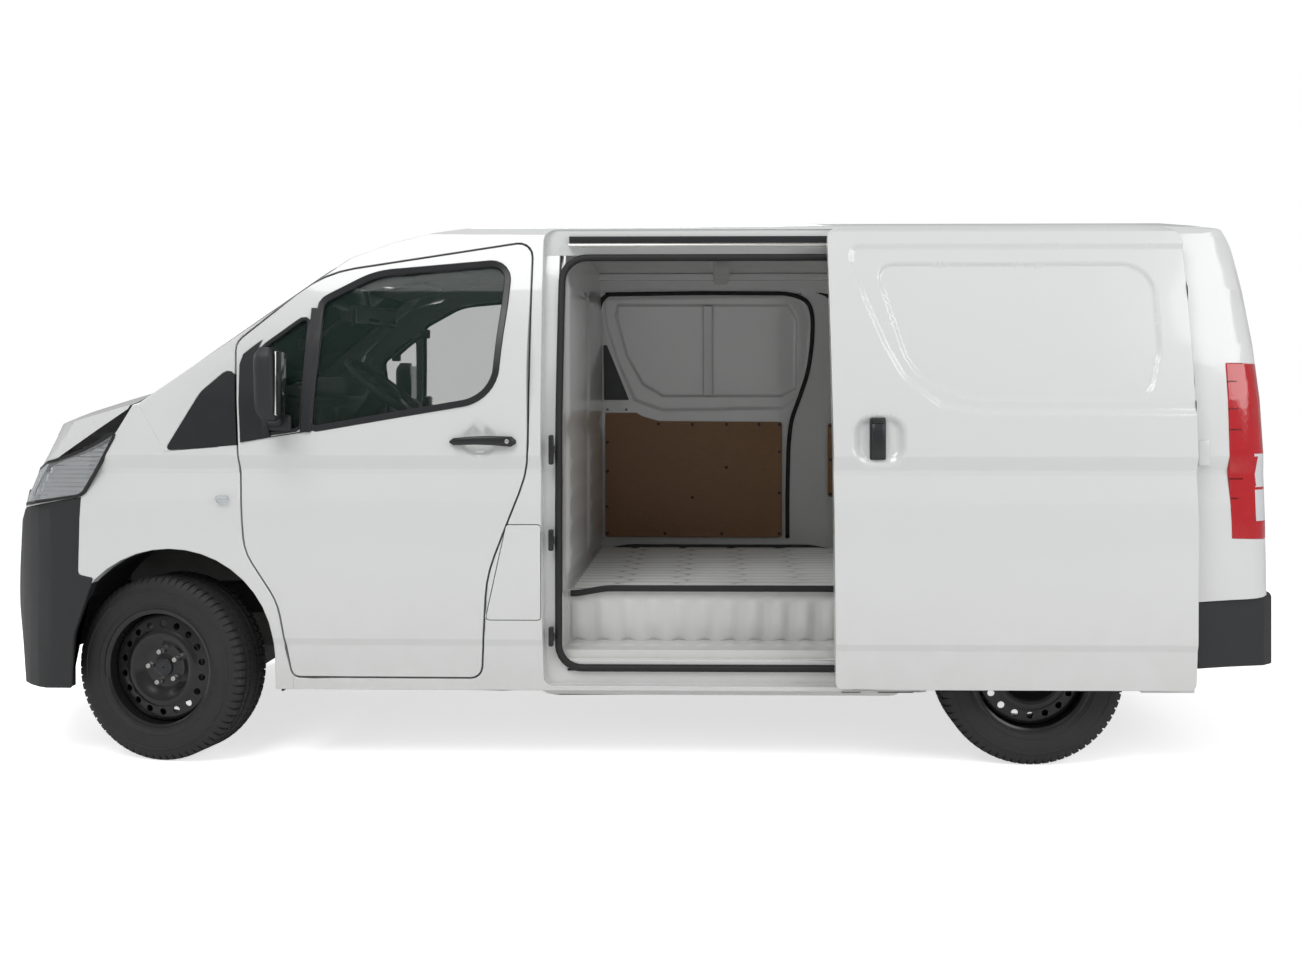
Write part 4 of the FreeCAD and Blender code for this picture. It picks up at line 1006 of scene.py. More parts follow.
def closed_bonnet(bm):
    """Keeps the bonnet's outer skin and closes its openings along the form of the nose."""
    bm.normal_update()
    lost = []
    for face in bm.faces:
        _, normal, _, gap = NOSE_HULL.find_nearest(face.calc_center_median())
        if gap > SKIN_GAP or face.normal.dot(normal) < SKIN_FACING:
            lost.append(face)
    bmesh.ops.delete(bm, geom=lost, context="FACES")
    for loop in boundary_loops(bm)[:-1]:
        known = set(bm.faces)
        border = {vert for edge in loop for vert in edge.verts}
        bmesh.ops.holes_fill(bm, edges=loop, sides=0)
        bmesh.ops.triangulate(bm, faces=[face for face in bm.faces if face not in known])
        for axis in (1, 2):
            cut_along(bm, axis, PATCH_CUTS, lambda mesh: [face for face in mesh.faces if face not in known])
        for vert in {vert for face in bm.faces if face not in known for vert in face.verts}:
            if vert in border or vert.is_boundary or any(near in known for near in vert.link_faces):
                continue
            vert.co.x = row_x(0) + nose_front(vert.co.y, vert.co.z)
    bmesh.ops.recalc_face_normals(bm, faces=bm.faces)
    if sum(face.normal.z * face.calc_area() for face in bm.faces) < 0:
        bmesh.ops.reverse_faces(bm, faces=bm.faces)


# Painted panels
SLID = -1.060
door_line = metres(rounded([
    (-1479, 1917, 35), (-1484, 1856, 0), (-1531, 1713, 0), (-1599, 1547, 0), (-1665, 1426, 150),
    (-1790, 1330, 0), (-1949, 1303, 300), (-2745, 1303, 0), (-2745, 1915, 0),
], 12))
blank_line = metres(rounded([
    (-1568, 1848, 50), (-1690, 1441, 210), (-1900, 1350, 300), (-2549, 1350, 90), (-2592, 1530, 200),
    (-2588, 1848, 110),
], 12))
cup_line = metres(rounded([
    (-1488, 1278, 50), (-1653, 1278, 50), (-1653, 1128, 50), (-1488, 1128, 50),
], 8))
PRESSED = [(door_line, 0.011, 0.026), (blank_line, 0.011, 0.018), (cup_line, 0.024, 0.040)]
RING = [Vector(p) for p in (
    (0.171, 1.854), (-0.819, 1.869), (-0.875, 1.752), (-0.870, 1.568), (-0.819, 1.364), (-0.737, 1.303),
    (-0.125, 1.293), (0.018, 1.344), (0.099, 1.527), (0.160, 1.731),
)]
INNER_BLANK = [Vector(p) for p in (
    (0.099, 1.823), (-0.757, 1.821), (-0.802, 1.752), (-0.802, 1.405), (-0.737, 1.364), (-0.125, 1.364),
    (-0.023, 1.425), (0.059, 1.568), (0.110, 1.772),
)]
press_left, fields_left = pressing(PRESSED, SLID)
press_right, fields_right = pressing(PRESSED)
inner_right, fields_inner = pressing([(RING, 0.010, 0.020), (INNER_BLANK, 0.014, 0.016)])


def both_faces(bm):
    fine_bands(fields_right)(bm)
    fine_bands(fields_inner, inward=True, finest=0.012)(bm)


panel("sliding_door_left_skin", "sliding_door_left", WHITE, "van", press=press_left,
      fine=fine_bands(fields_left, SLID), crease=True)
panel("sliding_door_right_skin", "sliding_door_right", WHITE, "van", press=press_right,
      fine=both_faces, inner=inner_right, crease=True)

front_cup = metres(rounded([(-1120, 1246, 48), (-1222, 1246, 48), (-1222, 1146, 48), (-1120, 1146, 48)], 8))
press_door, fields_door = pressing([(front_cup, 0.020, 0.040)])
for side in ("left", "right"):
    panel(f"front_door_{side}_skin", f"front_door_{side}", WHITE, f"front_door_{side}_body",
          press=press_door, fine=fine_bands(fields_door), warp=window_warp, crease=True)
    panel(f"body_side_{side}_skin", f"body_side_{side}", WHITE, "van", warp=tail_warp,
          fine=fine_bands([]), crease=True)
panel("roof_skin", "roof_panel", WHITE, "van")
panel("bonnet_skin", "bonnet", WHITE, "bonnet_body", bevel=0, rounds=14, warp=nose_warp,
      mend=closed_bonnet, inside=lamp_depth)
panel("front_panel_skin", "front_panel", WHITE, "van", warp=nose_warp, inside=lamp_depth)
panel("front_wings_skin", "front_wings", WHITE, "van", warp=nose_warp,
      fine=fine_bands([]), crease=True, inside=lamp_depth)
panel("fuel_flap_skin", "fuel_flap", WHITE, "fuel_flap_body", bevel=0.001)
panel("rear_panel_skin", "rear_panel", WHITE, "van", warp=tail_warp)
panel("tailgate_skin", "tailgate", WHITE, "tailgate_body", warp=tail_warp)
panel("front_bumper_skin", "front_bumper", BLACK, "van", bevel=0.004, warp=nose_warp)
panel("rear_bumper_skin", "rear_bumper", BLACK, "van", bevel=0.004, warp=raised_end)
panel("quarter_trims_skin", "quarter_trims", TRIM, "van", bevel=0.001)
panel("bulkhead_skin", "bulkhead", INNER, "van", bevel=0.0008)
panel("cowl_skin", "cowl", TRIM, "van")

# CAD nodes that stay as they are, with better materials
for material, nodes in (
    (GLASS, ("windscreen", "door_glass_left", "door_glass_right", "tailgate_glass")),
    (CHASSIS, ("chassis_frame", "rear_axle", "front_suspension", "leaf_springs", "seat_bases")),
    (CAST, ("knuckle_left", "knuckle_right", "engine_block")),
    (FLOOR_WHITE, ("cab_floor", "cargo_floor", "step_wells")),
    (PIPE, ("exhaust",)), (TANK, ("fuel_tank",)), (RUBBER, ("arch_liners",)), (TYRE, ("spare_wheel",)),
    (BLACK, ("grille",)), (TRIM, ("wipers",)),
):
    for node in nodes:
        for holder in NODES[node].material_slots:
            holder.material = material


# Cover over the hollow of each rear pillar, beside the tailgate
TAIL_HULL = hull_of(("body_side_left", "body_side_right", "tailgate", "rear_panel"))
BEHIND, COVER_FRONT = -3.2, -2.15
COVER_Z, COVER_Y = (1.16, 2.00), (0.70, 0.93)
COVER_CELL, COVER_MARGIN = 0.008, 2
COVER_GAP, COVER_SINK, COVER_THICK = 0.012, 0.0012, 0.003


def pillar_cover(side, sign):
    """A sheet just under the rear pillar's skin, where that has an opening."""
    skin = tree_of(f"body_side_{side}")
    spots, bare = {}, set()
    for i in range(round((COVER_Z[1] - COVER_Z[0]) / COVER_CELL)):
        for j in range(round((COVER_Y[1] - COVER_Y[0]) / COVER_CELL)):
            z, y = COVER_Z[0] + i * COVER_CELL, COVER_Y[0] + j * COVER_CELL
            start = Vector((BEHIND, sign * y, z))
            hit = TAIL_HULL.ray_cast(start, AHEAD)[0]
            if hit is None or hit.x > COVER_FRONT or y < 0.806 - 0.1047 * (z - 1.24):
                continue
            spots[i, j] = hit
            found = skin.ray_cast(start, AHEAD)[0]
            if found is None or found.x - hit.x > COVER_GAP:
                bare.add((i, j))
    reach = range(-COVER_MARGIN, COVER_MARGIN + 1)
    wanted = {(i + a, j + b) for i, j in bare for a in reach for b in reach}
    bm = bmesh.new()
    made = {key: bm.verts.new(tail_warp(spots[key] + AHEAD * COVER_SINK)) for key in wanted if key in spots}
    for i, j in made:
        corners = [made.get(key) for key in ((i, j), (i + 1, j), (i + 1, j + 1), (i, j + 1))]
        if all(corners):
            bm.faces.new(corners)
    bmesh.ops.delete(bm, geom=[vert for vert in bm.verts if not vert.link_faces], context="VERTS")
    bmesh.ops.recalc_face_normals(bm, faces=bm.faces)
    bmesh.ops.solidify(bm, geom=bm.faces[:], thickness=COVER_THICK)
    return bm


for side, sign in SIDES:
    piece(f"rear_pillar_cover_{side}", pillar_cover(side, sign), WHITE, "van")


# Wheels: their places, turns and sections, in metres and then millimetres
WHEELS = (
    ("front_left", (1.6737, 0.8240, 0.343), -12.0),
    ("front_right", (1.6363, -0.8240, 0.343), 168.0),
    ("rear_left", (-1.550, 0.8260, 0.343), 0.0),
    ("rear_right", (-1.550, -0.8260, 0.343), 180.0),
)
TREAD = [
    (212, 86, 0), (219, 91, 0), (230, 96.5, 0), (240, 100.5, 0), (242, 102.5, 0), (245, 102.8, 0),
    (248, 101.6, 0), (262, 105.0, 0), (284, 107.0, 0), (292, 106.6, 0), (294, 108.4, 0), (298, 108.4, 0),
    (300, 105.6, 0),
    (312, 103.0, 0), (322, 99.5, 3), (330, 94.5, 6), (337, 88.0, 7), (341, 82.0, 7), (343, 76.0, 7),
    (343, 57.0, 6), (335, 56.0, 0), (335, 50.0, 0), (343, 49.0, 3), (343, 36.0, 0), (343, 27.0, 3),
    (335, 26.0, 0), (335, 20.0, 0), (343, 19.0, 3), (343, 6.0, 0),
]
BLOCKS, QUICK_BLOCKS = 72, 48
BLOCK = ((0.0, 0), (0.06, 1), (0.22, 1), (0.28, 0), (0.64, 0))
STAGGER, SLANT = 0.35, 0.012
DISC_EDGE = [(203, 42), (202, 49), (199, 55), (193, 58.5), (184, 60)]
DISC_CENTRE = [
    (147, 66), (143, 69), (135, 72.5), (127, 74), (119, 72.5), (111, 69), (98, 61), (86, 53), (78, 49.5),
    (72, 49), (50, 50), (44, 50.5), (38, 53), (34, 53),
]
BARREL = [
    (207, 90), (213, 93.5), (220, 96.5), (225, 97), (228.5, 94.5), (228.5, 91.5), (225, 89.5), (218, 88.5),
    (213, 86), (211, 80), (210, 40), (196, 20), (196, -50), (210, -76), (213, -86), (225, -90), (228, -94),
    (223, -96.5), (211, -92), (205, -82), (189, -56), (188, 14), (202, 38), (205, 60), (206, 80),
]
SECTORS, SECTOR = 18, 20
SHARES = (-1.0, -math.tan(math.pi / 8), 0.0, math.tan(math.pi / 8))
HOLE_SIDES, HOLE, HOLE_CIRCLE = 16, 13.0, 165.5
HOLES_FROM, HOLES_TO, HOLES_FACE = 147.0, 184.0, 66
LIP, TURN_IN = 0.0022, 0.005
CAP = [(0.0345, 0.047), (0.0345, 0.060), (0.0325, 0.0625), (0.027, 0.0632), (0.0255, 0.0618), (0.003, 0.0622),
       (0.003, 0.05)]
DRUM = [(0.150, -0.03), (0.150, 0.034), (0.145, 0.038), (0.03, 0.040), (0.03, -0.03)]
NUT = [(0.0125, 0.049), (0.0125, 0.054), (0.0105, 0.057), (0.0105, 0.069), (0.0085, 0.0715), (0.002, 0.0715),
       (0.002, 0.049)]
NUTS, NUT_CIRCLE, NUT_START = 5, 0.060, 14


def turned(radius, offset, degrees):
    """A point in metres from a radius, an offset along the axle and a turn."""
    turn = math.radians(degrees)
    return Vector((radius * math.sin(turn) / 1000, offset / 1000, radius * math.cos(turn) / 1000))


def tyre_mesh():
    """A tyre with ribs, shoulder blocks and sidewall rings, turned about Y."""
    rows = TREAD + [(r, -y, cut) for r, y, cut in reversed(TREAD)]
    blocks = BLOCKS
    pitch = 360 / blocks
    columns = []
    for block in range(blocks):
        for share, low in BLOCK:
            angle = (block + share) * pitch
            columns.append([
                turned(r - cut * low, y, angle + (STAGGER * pitch if y < 0 else 0.0) + SLANT * y)
                for r, y, cut in rows])
    return skinned(columns, True)


def lathe(bm, profile, closed=False):
    """Columns at the sector shares of a rim, so that its parts weld."""
    columns = [[turned(r, y, sector * SECTOR + SECTOR / 2 * share) for r, y in profile]
               for sector in range(SECTORS) for share in SHARES]
    grid_faces(bm, columns, close_rows=True, close_columns=closed)


def holes(bm):
    """The disc's ring of round holes, with a lip and an edge turned in round each."""
    middle, half = (HOLES_FROM + HOLES_TO) / 2, (HOLES_TO - HOLES_FROM) / 2
    for sector in range(SECTORS):
        spokes = []
        for k in range(HOLE_SIDES):
            turn = math.tau * k / HOLE_SIDES
            a, b = math.cos(turn), math.sin(turn)
            reach = max(abs(a), abs(b))
            edge_r, hole_r = middle + half * b / reach, HOLE_CIRCLE + HOLE * b
            edge = turned(edge_r, HOLES_FACE - (edge_r - HOLES_FROM) / 6,
                          sector * SECTOR + SECTOR / 2 * a / reach)
            near = turned(hole_r, HOLES_FACE - (hole_r - HOLES_FROM) / 6,
                          sector * SECTOR + math.degrees(HOLE * a / hole_r))
            lip = near + (near - turned(HOLE_CIRCLE, HOLES_FACE - 3, sector * SECTOR)).normalized() * LIP
            spokes.append([bm.verts.new(spot) for spot in (edge, lip, near, near - ACROSS * TURN_IN)])
        for k in range(HOLE_SIDES):
            a, b = spokes[k], spokes[(k + 1) % HOLE_SIDES]
            for j in range(3):
                bm.faces.new((a[j], b[j], b[j + 1], a[j + 1]))


def rim_mesh():
    """A pressed steel disc in a rolled barrel."""
    bm = bmesh.new()
    lathe(bm, DISC_EDGE)
    holes(bm)
    lathe(bm, DISC_CENTRE)
    bmesh.ops.remove_doubles(bm, verts=bm.verts, dist=2e-5)
    lathe(bm, BARREL, True)
    bmesh.ops.recalc_face_normals(bm, faces=bm.faces)
    return bm


def wheel(label, centre, degrees):
    place = Matrix.Translation(centre) @ Matrix.Rotation(math.radians(degrees), 4, "Z")
    nuts = []
    for k in range(NUTS):
        turn = math.radians(360 / NUTS * k + NUT_START)
        nuts.append(revolved(NUT, 6, Vector((NUT_CIRCLE * math.sin(turn), 0.0, NUT_CIRCLE * math.cos(turn)))))
    for name, mesh, material, slot, replaced, crisp in (
        (f"tyre_{label}_tread", tyre_mesh(), TYRE, "tyre", (f"tyre_{label}",), 32),
        (f"rim_{label}_pressed", rim_mesh(), GLOSS, "wheel_steel", (f"rim_{label}",), 42),
        (f"wheel_{label}_cap", revolved(CAP, 40), TRIM, "black_plastic", (), 30),
        (f"wheel_{label}_drum", revolved(DRUM, 48), CAST, "cast", (), 30),
        (f"wheel_{label}_nuts", merged(*nuts), STEEL, "cast", (), 30),
    ):
        bmesh.ops.transform(mesh, matrix=place, verts=mesh.verts)
        piece(name, mesh, material, f"wheel_{label}", replaced, crisp)


for row in WHEELS:
    wheel(*row)


# Window seals and dividers
def flat_section(inner, outer, low, high, radius=0.002):
    """A band section: across the outline from inner to outer, and from low to high over the skin."""
    return [
        (inner + radius, low), (outer - radius, low), (outer, low + radius), (outer, high - radius),
        (outer - radius, high), (inner + radius, high), (inner, high - radius), (inner, low + radius),
    ]


def ring_on(points, section, lift):
    """A closed band along draped points, its section given outward from the outline and over the skin."""
    count = len(points)
    centre = sum(points, Vector()) / count
    rows = []
    for index, point in enumerate(points):
        ahead = (points[(index + 1) % count] - points[index - 1]).normalized()
        above = lift[index] if isinstance(lift, list) else lift
        out = ahead.cross(above).normalized()
        if out.dot(point - centre) < 0:
            out = -out
        over = ahead.cross(out).normalized()
        if over.dot(above) < 0:
            over = -over
        rows.append([point + out * a + over * b for a, b in section])
    return skinned(rows, True, True)


MAIN_PANE = metres(rounded([
    (-540, 1238, 25), (-562, 1716, 40), (-760, 1822, 300), (-1262, 1866, 60), (-1228, 1236, 110),
], 20))
QUARTER_PANE = metres(rounded([(-372, 1216, 20), (-342, 1540, 40), (-528, 1682, 25), (-512, 1236, 25)], 12))
SEAL_STEP, PANE_INSET = 0.02, 0.004


def pane_seal(pane, reach, glass, sign):
    """The rubber round one pane of a front door."""
    centre = sum(pane, Vector((0.0, 0.0))) / len(pane)
    points = []
    for spot in resampled(pane, SEAL_STEP):
        inner = spot + (centre - spot).normalized() * PANE_INSET
        points.append(window_warp(Vector((spot.x, on_skin(glass, inner.x, inner.y, sign).y, spot.y))))
    return ring_on(points, flat_section(-0.011, reach, 0.000, 0.0160, 0.003), Vector((0, sign, 0)))


def divider(share, sign):
    """A point of the bar between a front door's two panes."""
    z = 1.228 + 0.462 * share
    return Vector((row_x(-527 - 18 * share), sign * (side_y(z) - 0.006 - 0.004 * share), z))


for side, sign in SIDES:
    glass = tree_of(f"door_glass_{side}")
    bar = swept(along(8, lambda t: divider(t, sign)), flat_section(-0.019, 0.019, -0.004, 0.007, 0.003),
                up=Vector((0, sign, 0)))
    bands = [pane_seal(MAIN_PANE, 0.014, glass, sign), pane_seal(QUARTER_PANE, 0.004, glass, sign), bar]
    piece(f"window_seal_{side}", merged(*bands), TRIM, f"front_door_{side}_body", crisp=40)


# Windscreen surround
def windscreen_surround():
    """The dark band over the edge of the windscreen and its opening."""
    screen = tree_of("windscreen")
    outline = rounded([(-790, 1441, 60), (-647, 1857, 80), (647, 1857, 80), (790, 1441, 60)], 12)
    points, lifts = [], []
    for p in resampled([q / 1000 for q in outline], SEAL_STEP):
        hit, normal, _, _ = screen.ray_cast(Vector((3.5, p.x, p.y)), -AHEAD)
        if hit is not None:
            points.append(hit)
            lifts.append(normal if normal.x > 0 else -normal)
    return ring_on(points, flat_section(-0.018, 0.032, -0.004, 0.0022, 0.0010), lifts)


piece("windscreen_surround", windscreen_surround(), GLOSS, "van", crisp=40)


# Headlamps
LAMP_MARGIN, SEAL_STEP_FINE = 0.003, 0.012
SIDE_FROM, SIDE_RUN = 40.0, 5.0
BOWLS = ((3.0, 1.000, 0.050), (26.0, 1.018, 0.056))
BOWL_DEPTH, TURN_LENGTH = 0.050, 0.0070
RIB_STEP, RIB_DEPTH, FOLD_DEPTH, BACK_DEPTH = 0.016, 0.006, 0.008, 0.028


def lamp_spot(sign, turn, z, depth):
    """A point of a headlamp, sunk below the nose's skin by a depth."""
    heading = Vector((math.cos(math.radians(turn)), sign * math.sin(math.radians(turn)), 0.0))
    centre = Vector((LAMP_AT[0], sign * LAMP_AT[1], z))
    hit = NOSE_HULL.ray_cast(centre + heading * 1.2, -heading)[0]
    return nose_warp(hit - heading * depth)


def lamp_sheet(sign, wide, high, depth_at, margin=0.0):
    """A sheet within the outline of a headlamp, sunk by depth_at(turn, z)."""
    rows = []
    for j in range(wide + 1):
        turn = LAMP_TURNS[0] + (LAMP_TURNS[1] - LAMP_TURNS[0]) * j / wide
        top = float(np.interp(turn, *LAMP_TOP)) - margin
        foot = float(np.interp(turn, *LAMP_FOOT)) + margin
        heights = [foot + (top - foot) * i / high for i in range(high + 1)]
        rows.append([lamp_spot(sign, turn, z, depth_at(turn, z)) for z in heights])
    return skinned(rows)


def reflector_depth(turn, z):
    """Two round bowls at the front and close ribs at the side."""
    side_share = smooth_step((turn - SIDE_FROM) / SIDE_RUN)
    ribs = RIB_DEPTH * (math.floor(z / RIB_STEP) % 2)
    bowls = 0.0
    for at_turn, at_z, reach in BOWLS:
        gap = math.hypot((turn - at_turn) * TURN_LENGTH, z - at_z)
        if gap < reach:
            bowls = max(bowls, BOWL_DEPTH * math.sqrt(1 - (gap / reach) ** 2))
    folds = FOLD_DEPTH * math.sin(turn * 0.23)
    return BACK_DEPTH + (folds + bowls) * (1 - side_share) + ribs * side_share


def lamp_rim(sign):
    """The dark seal round a headlamp."""
    path = []
    for edge, turns in ((LAMP_TOP, range(-17, 89, 3)), (LAMP_FOOT, range(88, -18, -3))):
        path += [lamp_spot(sign, turn, float(np.interp(turn, *edge)), 0.0) for turn in turns]
    path = resampled(path, SEAL_STEP_FINE)
    section = flat_section(-0.0055, 0.0055, -0.010, 0.0022, 0.0010)
    rows = []
    for index, point in enumerate(path):
        ahead = (path[(index + 1) % len(path)] - path[index - 1]).normalized()
        lift = Vector((point.x - LAMP_AT[0] + 0.03, point.y - sign * LAMP_AT[1], 0.0)).normalized()
        across = ahead.cross(lift).normalized()
        rows.append([point + across * a + lift * b for a, b in section])
    return skinned(rows, True, True)


fine = 2
for side, sign in SIDES:
    lens = lamp_sheet(sign, 60 * fine, 10 * fine, lambda turn, z: -0.0004)
    bmesh.ops.solidify(lens, geom=lens.faces[:], thickness=0.003)
    nodes = ("headlamps",) if side == "left" else ()
    piece(f"headlamp_lens_{side}", lens, CLEAR, "van", nodes)
    bowl = lamp_sheet(sign, 90 * fine, 34 * fine, reflector_depth, LAMP_MARGIN)
    piece(f"headlamp_reflector_{side}", bowl, CHROME, "van", crisp=38)
    piece(f"headlamp_seal_{side}", lamp_rim(sign), RUBBER, "van", crisp=40)

# Rear lamps
LAMP_WHITE = plastic("lamp_white", (0.70, 0.71, 0.73), 0.12)
LAMP_DARK = plastic("lamp_dark_red", (0.16, 0.004, 0.006), 0.10)
TAIL_RIBS = (1.415, 1.315, 1.239, 1.060, 0.989)
RIB_HALF, RIBS_FROM = 0.003, -2.292
WHITE_FROM, WHITE_LOW, WHITE_HIGH = -2.352, 0.907, 1.151
BAR_LOW, BAR_HIGH = 1.02, 1.03


def tail_lamp_lines(bm):
    """Cuts the rear lamps along their ribs and their clear part."""
    ribs = [z + edge for z in TAIL_RIBS for edge in (-RIB_HALF, RIB_HALF)]
    cut_along(bm, 2, ribs + [WHITE_LOW, BAR_LOW, BAR_HIGH, WHITE_HIGH])
    cut_along(bm, 0, [WHITE_FROM, RIBS_FROM])


lamps = panel("tail_lamp_lenses", "tail_lamps", RED, "van", bevel=0.003, gap=0.03, warp=tail_warp,
              fine=tail_lamp_lines)
lamps.data.materials.append(LAMP_WHITE)
lamps.data.materials.append(LAMP_DARK)
for face in lamps.data.polygons:
    spot = face.center
    if WHITE_LOW < spot.z < WHITE_HIGH and spot.x < WHITE_FROM and not BAR_LOW < spot.z < BAR_HIGH:
        face.material_index = 1
    elif spot.x > RIBS_FROM and any(abs(spot.z - z) < RIB_HALF for z in TAIL_RIBS):
        face.material_index = 2


# Door handles and mirrors
HANDLE_FRONT, HANDLE_LENGTH, HANDLE_HEIGHT, HANDLE_END = -1066, 242, 1.193, 0.06
LOCK = [(0.0085, -0.002), (0.0085, 0.0012), (0.0075, 0.002), (0.0015, 0.0018), (0.0015, -0.002)]
GRIP_FRONT, GRIP_LOW, GRIP_LENGTH = -1565, 1.140, 0.118


def front_handle(side, sign):
    """The bar of a front door's handle, and the place of its lock."""
    door = tree_of(f"front_door_{side}")
    points, widths, heights = [], [], []
    for t in along(16, float):
        x = row_x(HANDLE_FRONT - HANDLE_LENGTH * t)
        bow = math.sin(math.pi * t)
        y = abs(on_skin(door, x, 1.10, sign).y) + 0.010 + 0.019 * bow ** 0.6
        points.append(Vector((x, sign * y, HANDLE_HEIGHT + 0.006 * bow)))
        end = min(1.0, min(t, 1 - t) / HANDLE_END) ** 0.5 if 0 < t < 1 else 0.35
        widths.append((0.013 + 0.0065 * t) * end)
        heights.append(0.0085 * max(0.5, end))
    bar = blended_sweep(points, widths, heights, up=Vector((0, sign, 0)))
    return bar, points[14] + Vector((0, sign * 0.0085, 0.0))


def sliding_handle(side):
    """The upright handle of a sliding door, its frame and its button, as on the left side."""
    sign = dict(SIDES)[side]
    x = row_x(GRIP_FRONT) + (SLID if side == "left" else 0.0)
    y = abs(on_skin(tree_of(f"sliding_door_{side}"), x, 1.205, sign).y)
    grip = [Vector((x, y - 0.004 + 0.010 * math.sin(math.pi * t) ** 0.5, GRIP_LOW + GRIP_LENGTH * t))
            for t in along(10, float)]
    return merged(
        bevelled_box((x - 0.029, y - 0.026, 1.131), (x + 0.029, y - 0.006, 1.282), 0.006, 3),
        blended_sweep(grip, [0.022] * 11, [0.0065] * 11, power=5.0),
        bevelled_box((x - 0.020, y - 0.012, 1.262), (x + 0.020, y + 0.001, 1.278), 0.003))


for side, sign in SIDES:
    body = f"front_door_{side}_body"
    bar, lock_at = front_handle(side, sign)
    piece(f"front_door_handle_{side}", bar, TRIM, body, (f"door_handle_{side}",), 50)
    lock = revolved(LOCK, 20)
    if sign < 0:
        turned_about(lock, "Z", 180)
    bmesh.ops.translate(lock, vec=lock_at, verts=lock.verts)
    piece(f"front_door_lock_{side}", lock, STEEL, body)
    whole = sliding_handle(side)
    if sign < 0:
        mirrored(whole)
    piece(f"sliding_door_handle_{side}", whole, TRIM, "van", crisp=45)


MIRROR_LEVELS, MIRROR_SIDES = 22, 28
MIRROR_LOW, MIRROR_HEIGHT = 1.275, 0.262
MIRROR_HALF = (0.050, 0.064)
MIRROR_FLAT = 0.62


def mirror_row(share):
    """One level of the mirror's housing, its front side fuller than its back."""
    ends = share in (0.0, 1.0)
    size = MIRROR_FLAT if ends else math.sqrt(max(0.0, 1 - (2 * share - 1) ** 8))
    centre = Vector((1.222 + 0.006 * share, 1.045 + 0.006 * share, MIRROR_LOW + MIRROR_HEIGHT * share))
    row = []
    for k in range(MIRROR_SIDES):
        turn = math.tau * k / MIRROR_SIDES
        c, s = math.cos(turn), math.sin(turn)
        a = math.copysign(abs(c) ** 0.55, c) * MIRROR_HALF[0] * size * (1.0 if c > 0 else MIRROR_FLAT)
        b = math.copysign(abs(s) ** 0.45, s) * MIRROR_HALF[1] * size
        row.append(centre + Vector((a, b, 0.0)))
    return row


def mirror_parts():
    """Housing with arm and foot, and glass, of the left door mirror."""
    shell = skinned(along(MIRROR_LEVELS, mirror_row), close_columns=True, capped=True)
    arm = blended_sweep(
        [Vector((1.235, 0.940, 1.262)), Vector((1.235, 0.965, 1.264)), Vector((1.232, 0.995, 1.270)),
         Vector((1.228, 1.020, 1.285))],
        [0.034, 0.030, 0.027, 0.030], [0.018, 0.016, 0.015, 0.016], up=UP)
    foot = bevelled_box((1.180, 0.945, 1.232), (1.290, 0.966, 1.292), 0.008, 3)
    return merged(shell, arm, foot), bevelled_box((1.188, 0.990, 1.292), (1.1935, 1.102, 1.522), 0.0025)


for side, sign in SIDES:
    housing, glass = mirror_parts()
    if sign < 0:
        mirrored(housing)
        mirrored(glass)
    body = f"front_door_{side}_body"
    piece(f"mirror_{side}_housing", housing, BLACK, body, (f"mirror_{side}",), 40)
    piece(f"mirror_{side}_glass", glass, MIRROR, body)


# Load space
DOORWAY = metres(rounded([(-1459, 1888, 92), (-2650, 1888, 92), (-2650, 352, 85), (-1459, 352, 85)], 10))
DOORWAY_SINK = 0.052
LIPPED = [(-0.013, -0.004), (-0.006, -0.008), (0.008, -0.008), (0.013, -0.004), (0.013, 0.004),
          (0.006, 0.011), (-0.004, 0.012), (-0.011, 0.006)]
for side, sign in SIDES:
    path = [Vector((p.x, sign * (side_y(p.y) - DOORWAY_SINK), p.y)) for p in resampled(DOORWAY, SEAL_STEP)]
    seal = ring_on(path, LIPPED, Vector((0, sign, 0)))
    piece(f"doorway_seal_{side}", seal, RUBBER, "van", ("door_seal",) if sign > 0 else (), 60)

# Ribbed load floor, riser and step
FLOOR_Z, FLOOR_FROM, FLOOR_TO, FLOOR_HALF_Y = 0.612, -2.33, 0.165, 0.53
BAY_FROM, BAY_HALF_Y = -1.02, 0.672
RIB_PITCH, RIB_LENGTH, RIB_SHIFT = 0.086, 0.235, 0.175
STEP_FROM, STEP_TO, STEP_Z, STEP_NEAR, STEP_FAR = -1.045, 0.170, 0.4122, 0.695, 0.855
RISER_Y, RISER_COLUMNS, STEP_RIB_PITCH = 0.6905, 220, 0.098
RISER = ((0.416, 0.0), (0.424, 0.3), (0.436, 1.0), (0.500, 1.0), (0.556, 1.0), (0.568, 0.3), (0.578, 0.0),
         (0.606, 0.0))


def ribbed(low, high, z, ribs, cell=2):
    """A floor with pressed ribs; ribs gives the lift at (x, y)."""
    fine = 0.0115
    wide, deep = high[0] - low[0], high[1] - low[1]
    nx, ny = max(2, int(wide / (fine * cell))), max(2, int(deep / fine))
    rows = []
    for i in range(nx + 1):
        x = low[0] + wide * i / nx
        ys = [low[1] + deep * j / ny for j in range(ny + 1)]
        rows.append([Vector((x, y, z + ribs(x, y))) for y in ys])
    bm = skinned(rows)
    for face in bm.faces:
        if face.normal.z < 0:
            face.normal_flip()
    return bm


def bump_of(t, width):
    return smooth_step(1 - abs(t) / width) if abs(t) < width else 0.0


def floor_ribs(x, y):
    across = (y / RIB_PITCH) % 1.0 - 0.5
    share = (x / RIB_LENGTH + RIB_SHIFT * (math.floor(y / RIB_PITCH) % 2)) % 1.0
    gap = smooth_step(min(share, 1 - share) / 0.09)
    border = smooth_step((0.655 - abs(y)) / 0.02)
    return 0.0012 + 0.0095 * bump_of(across, 0.36) * gap * border


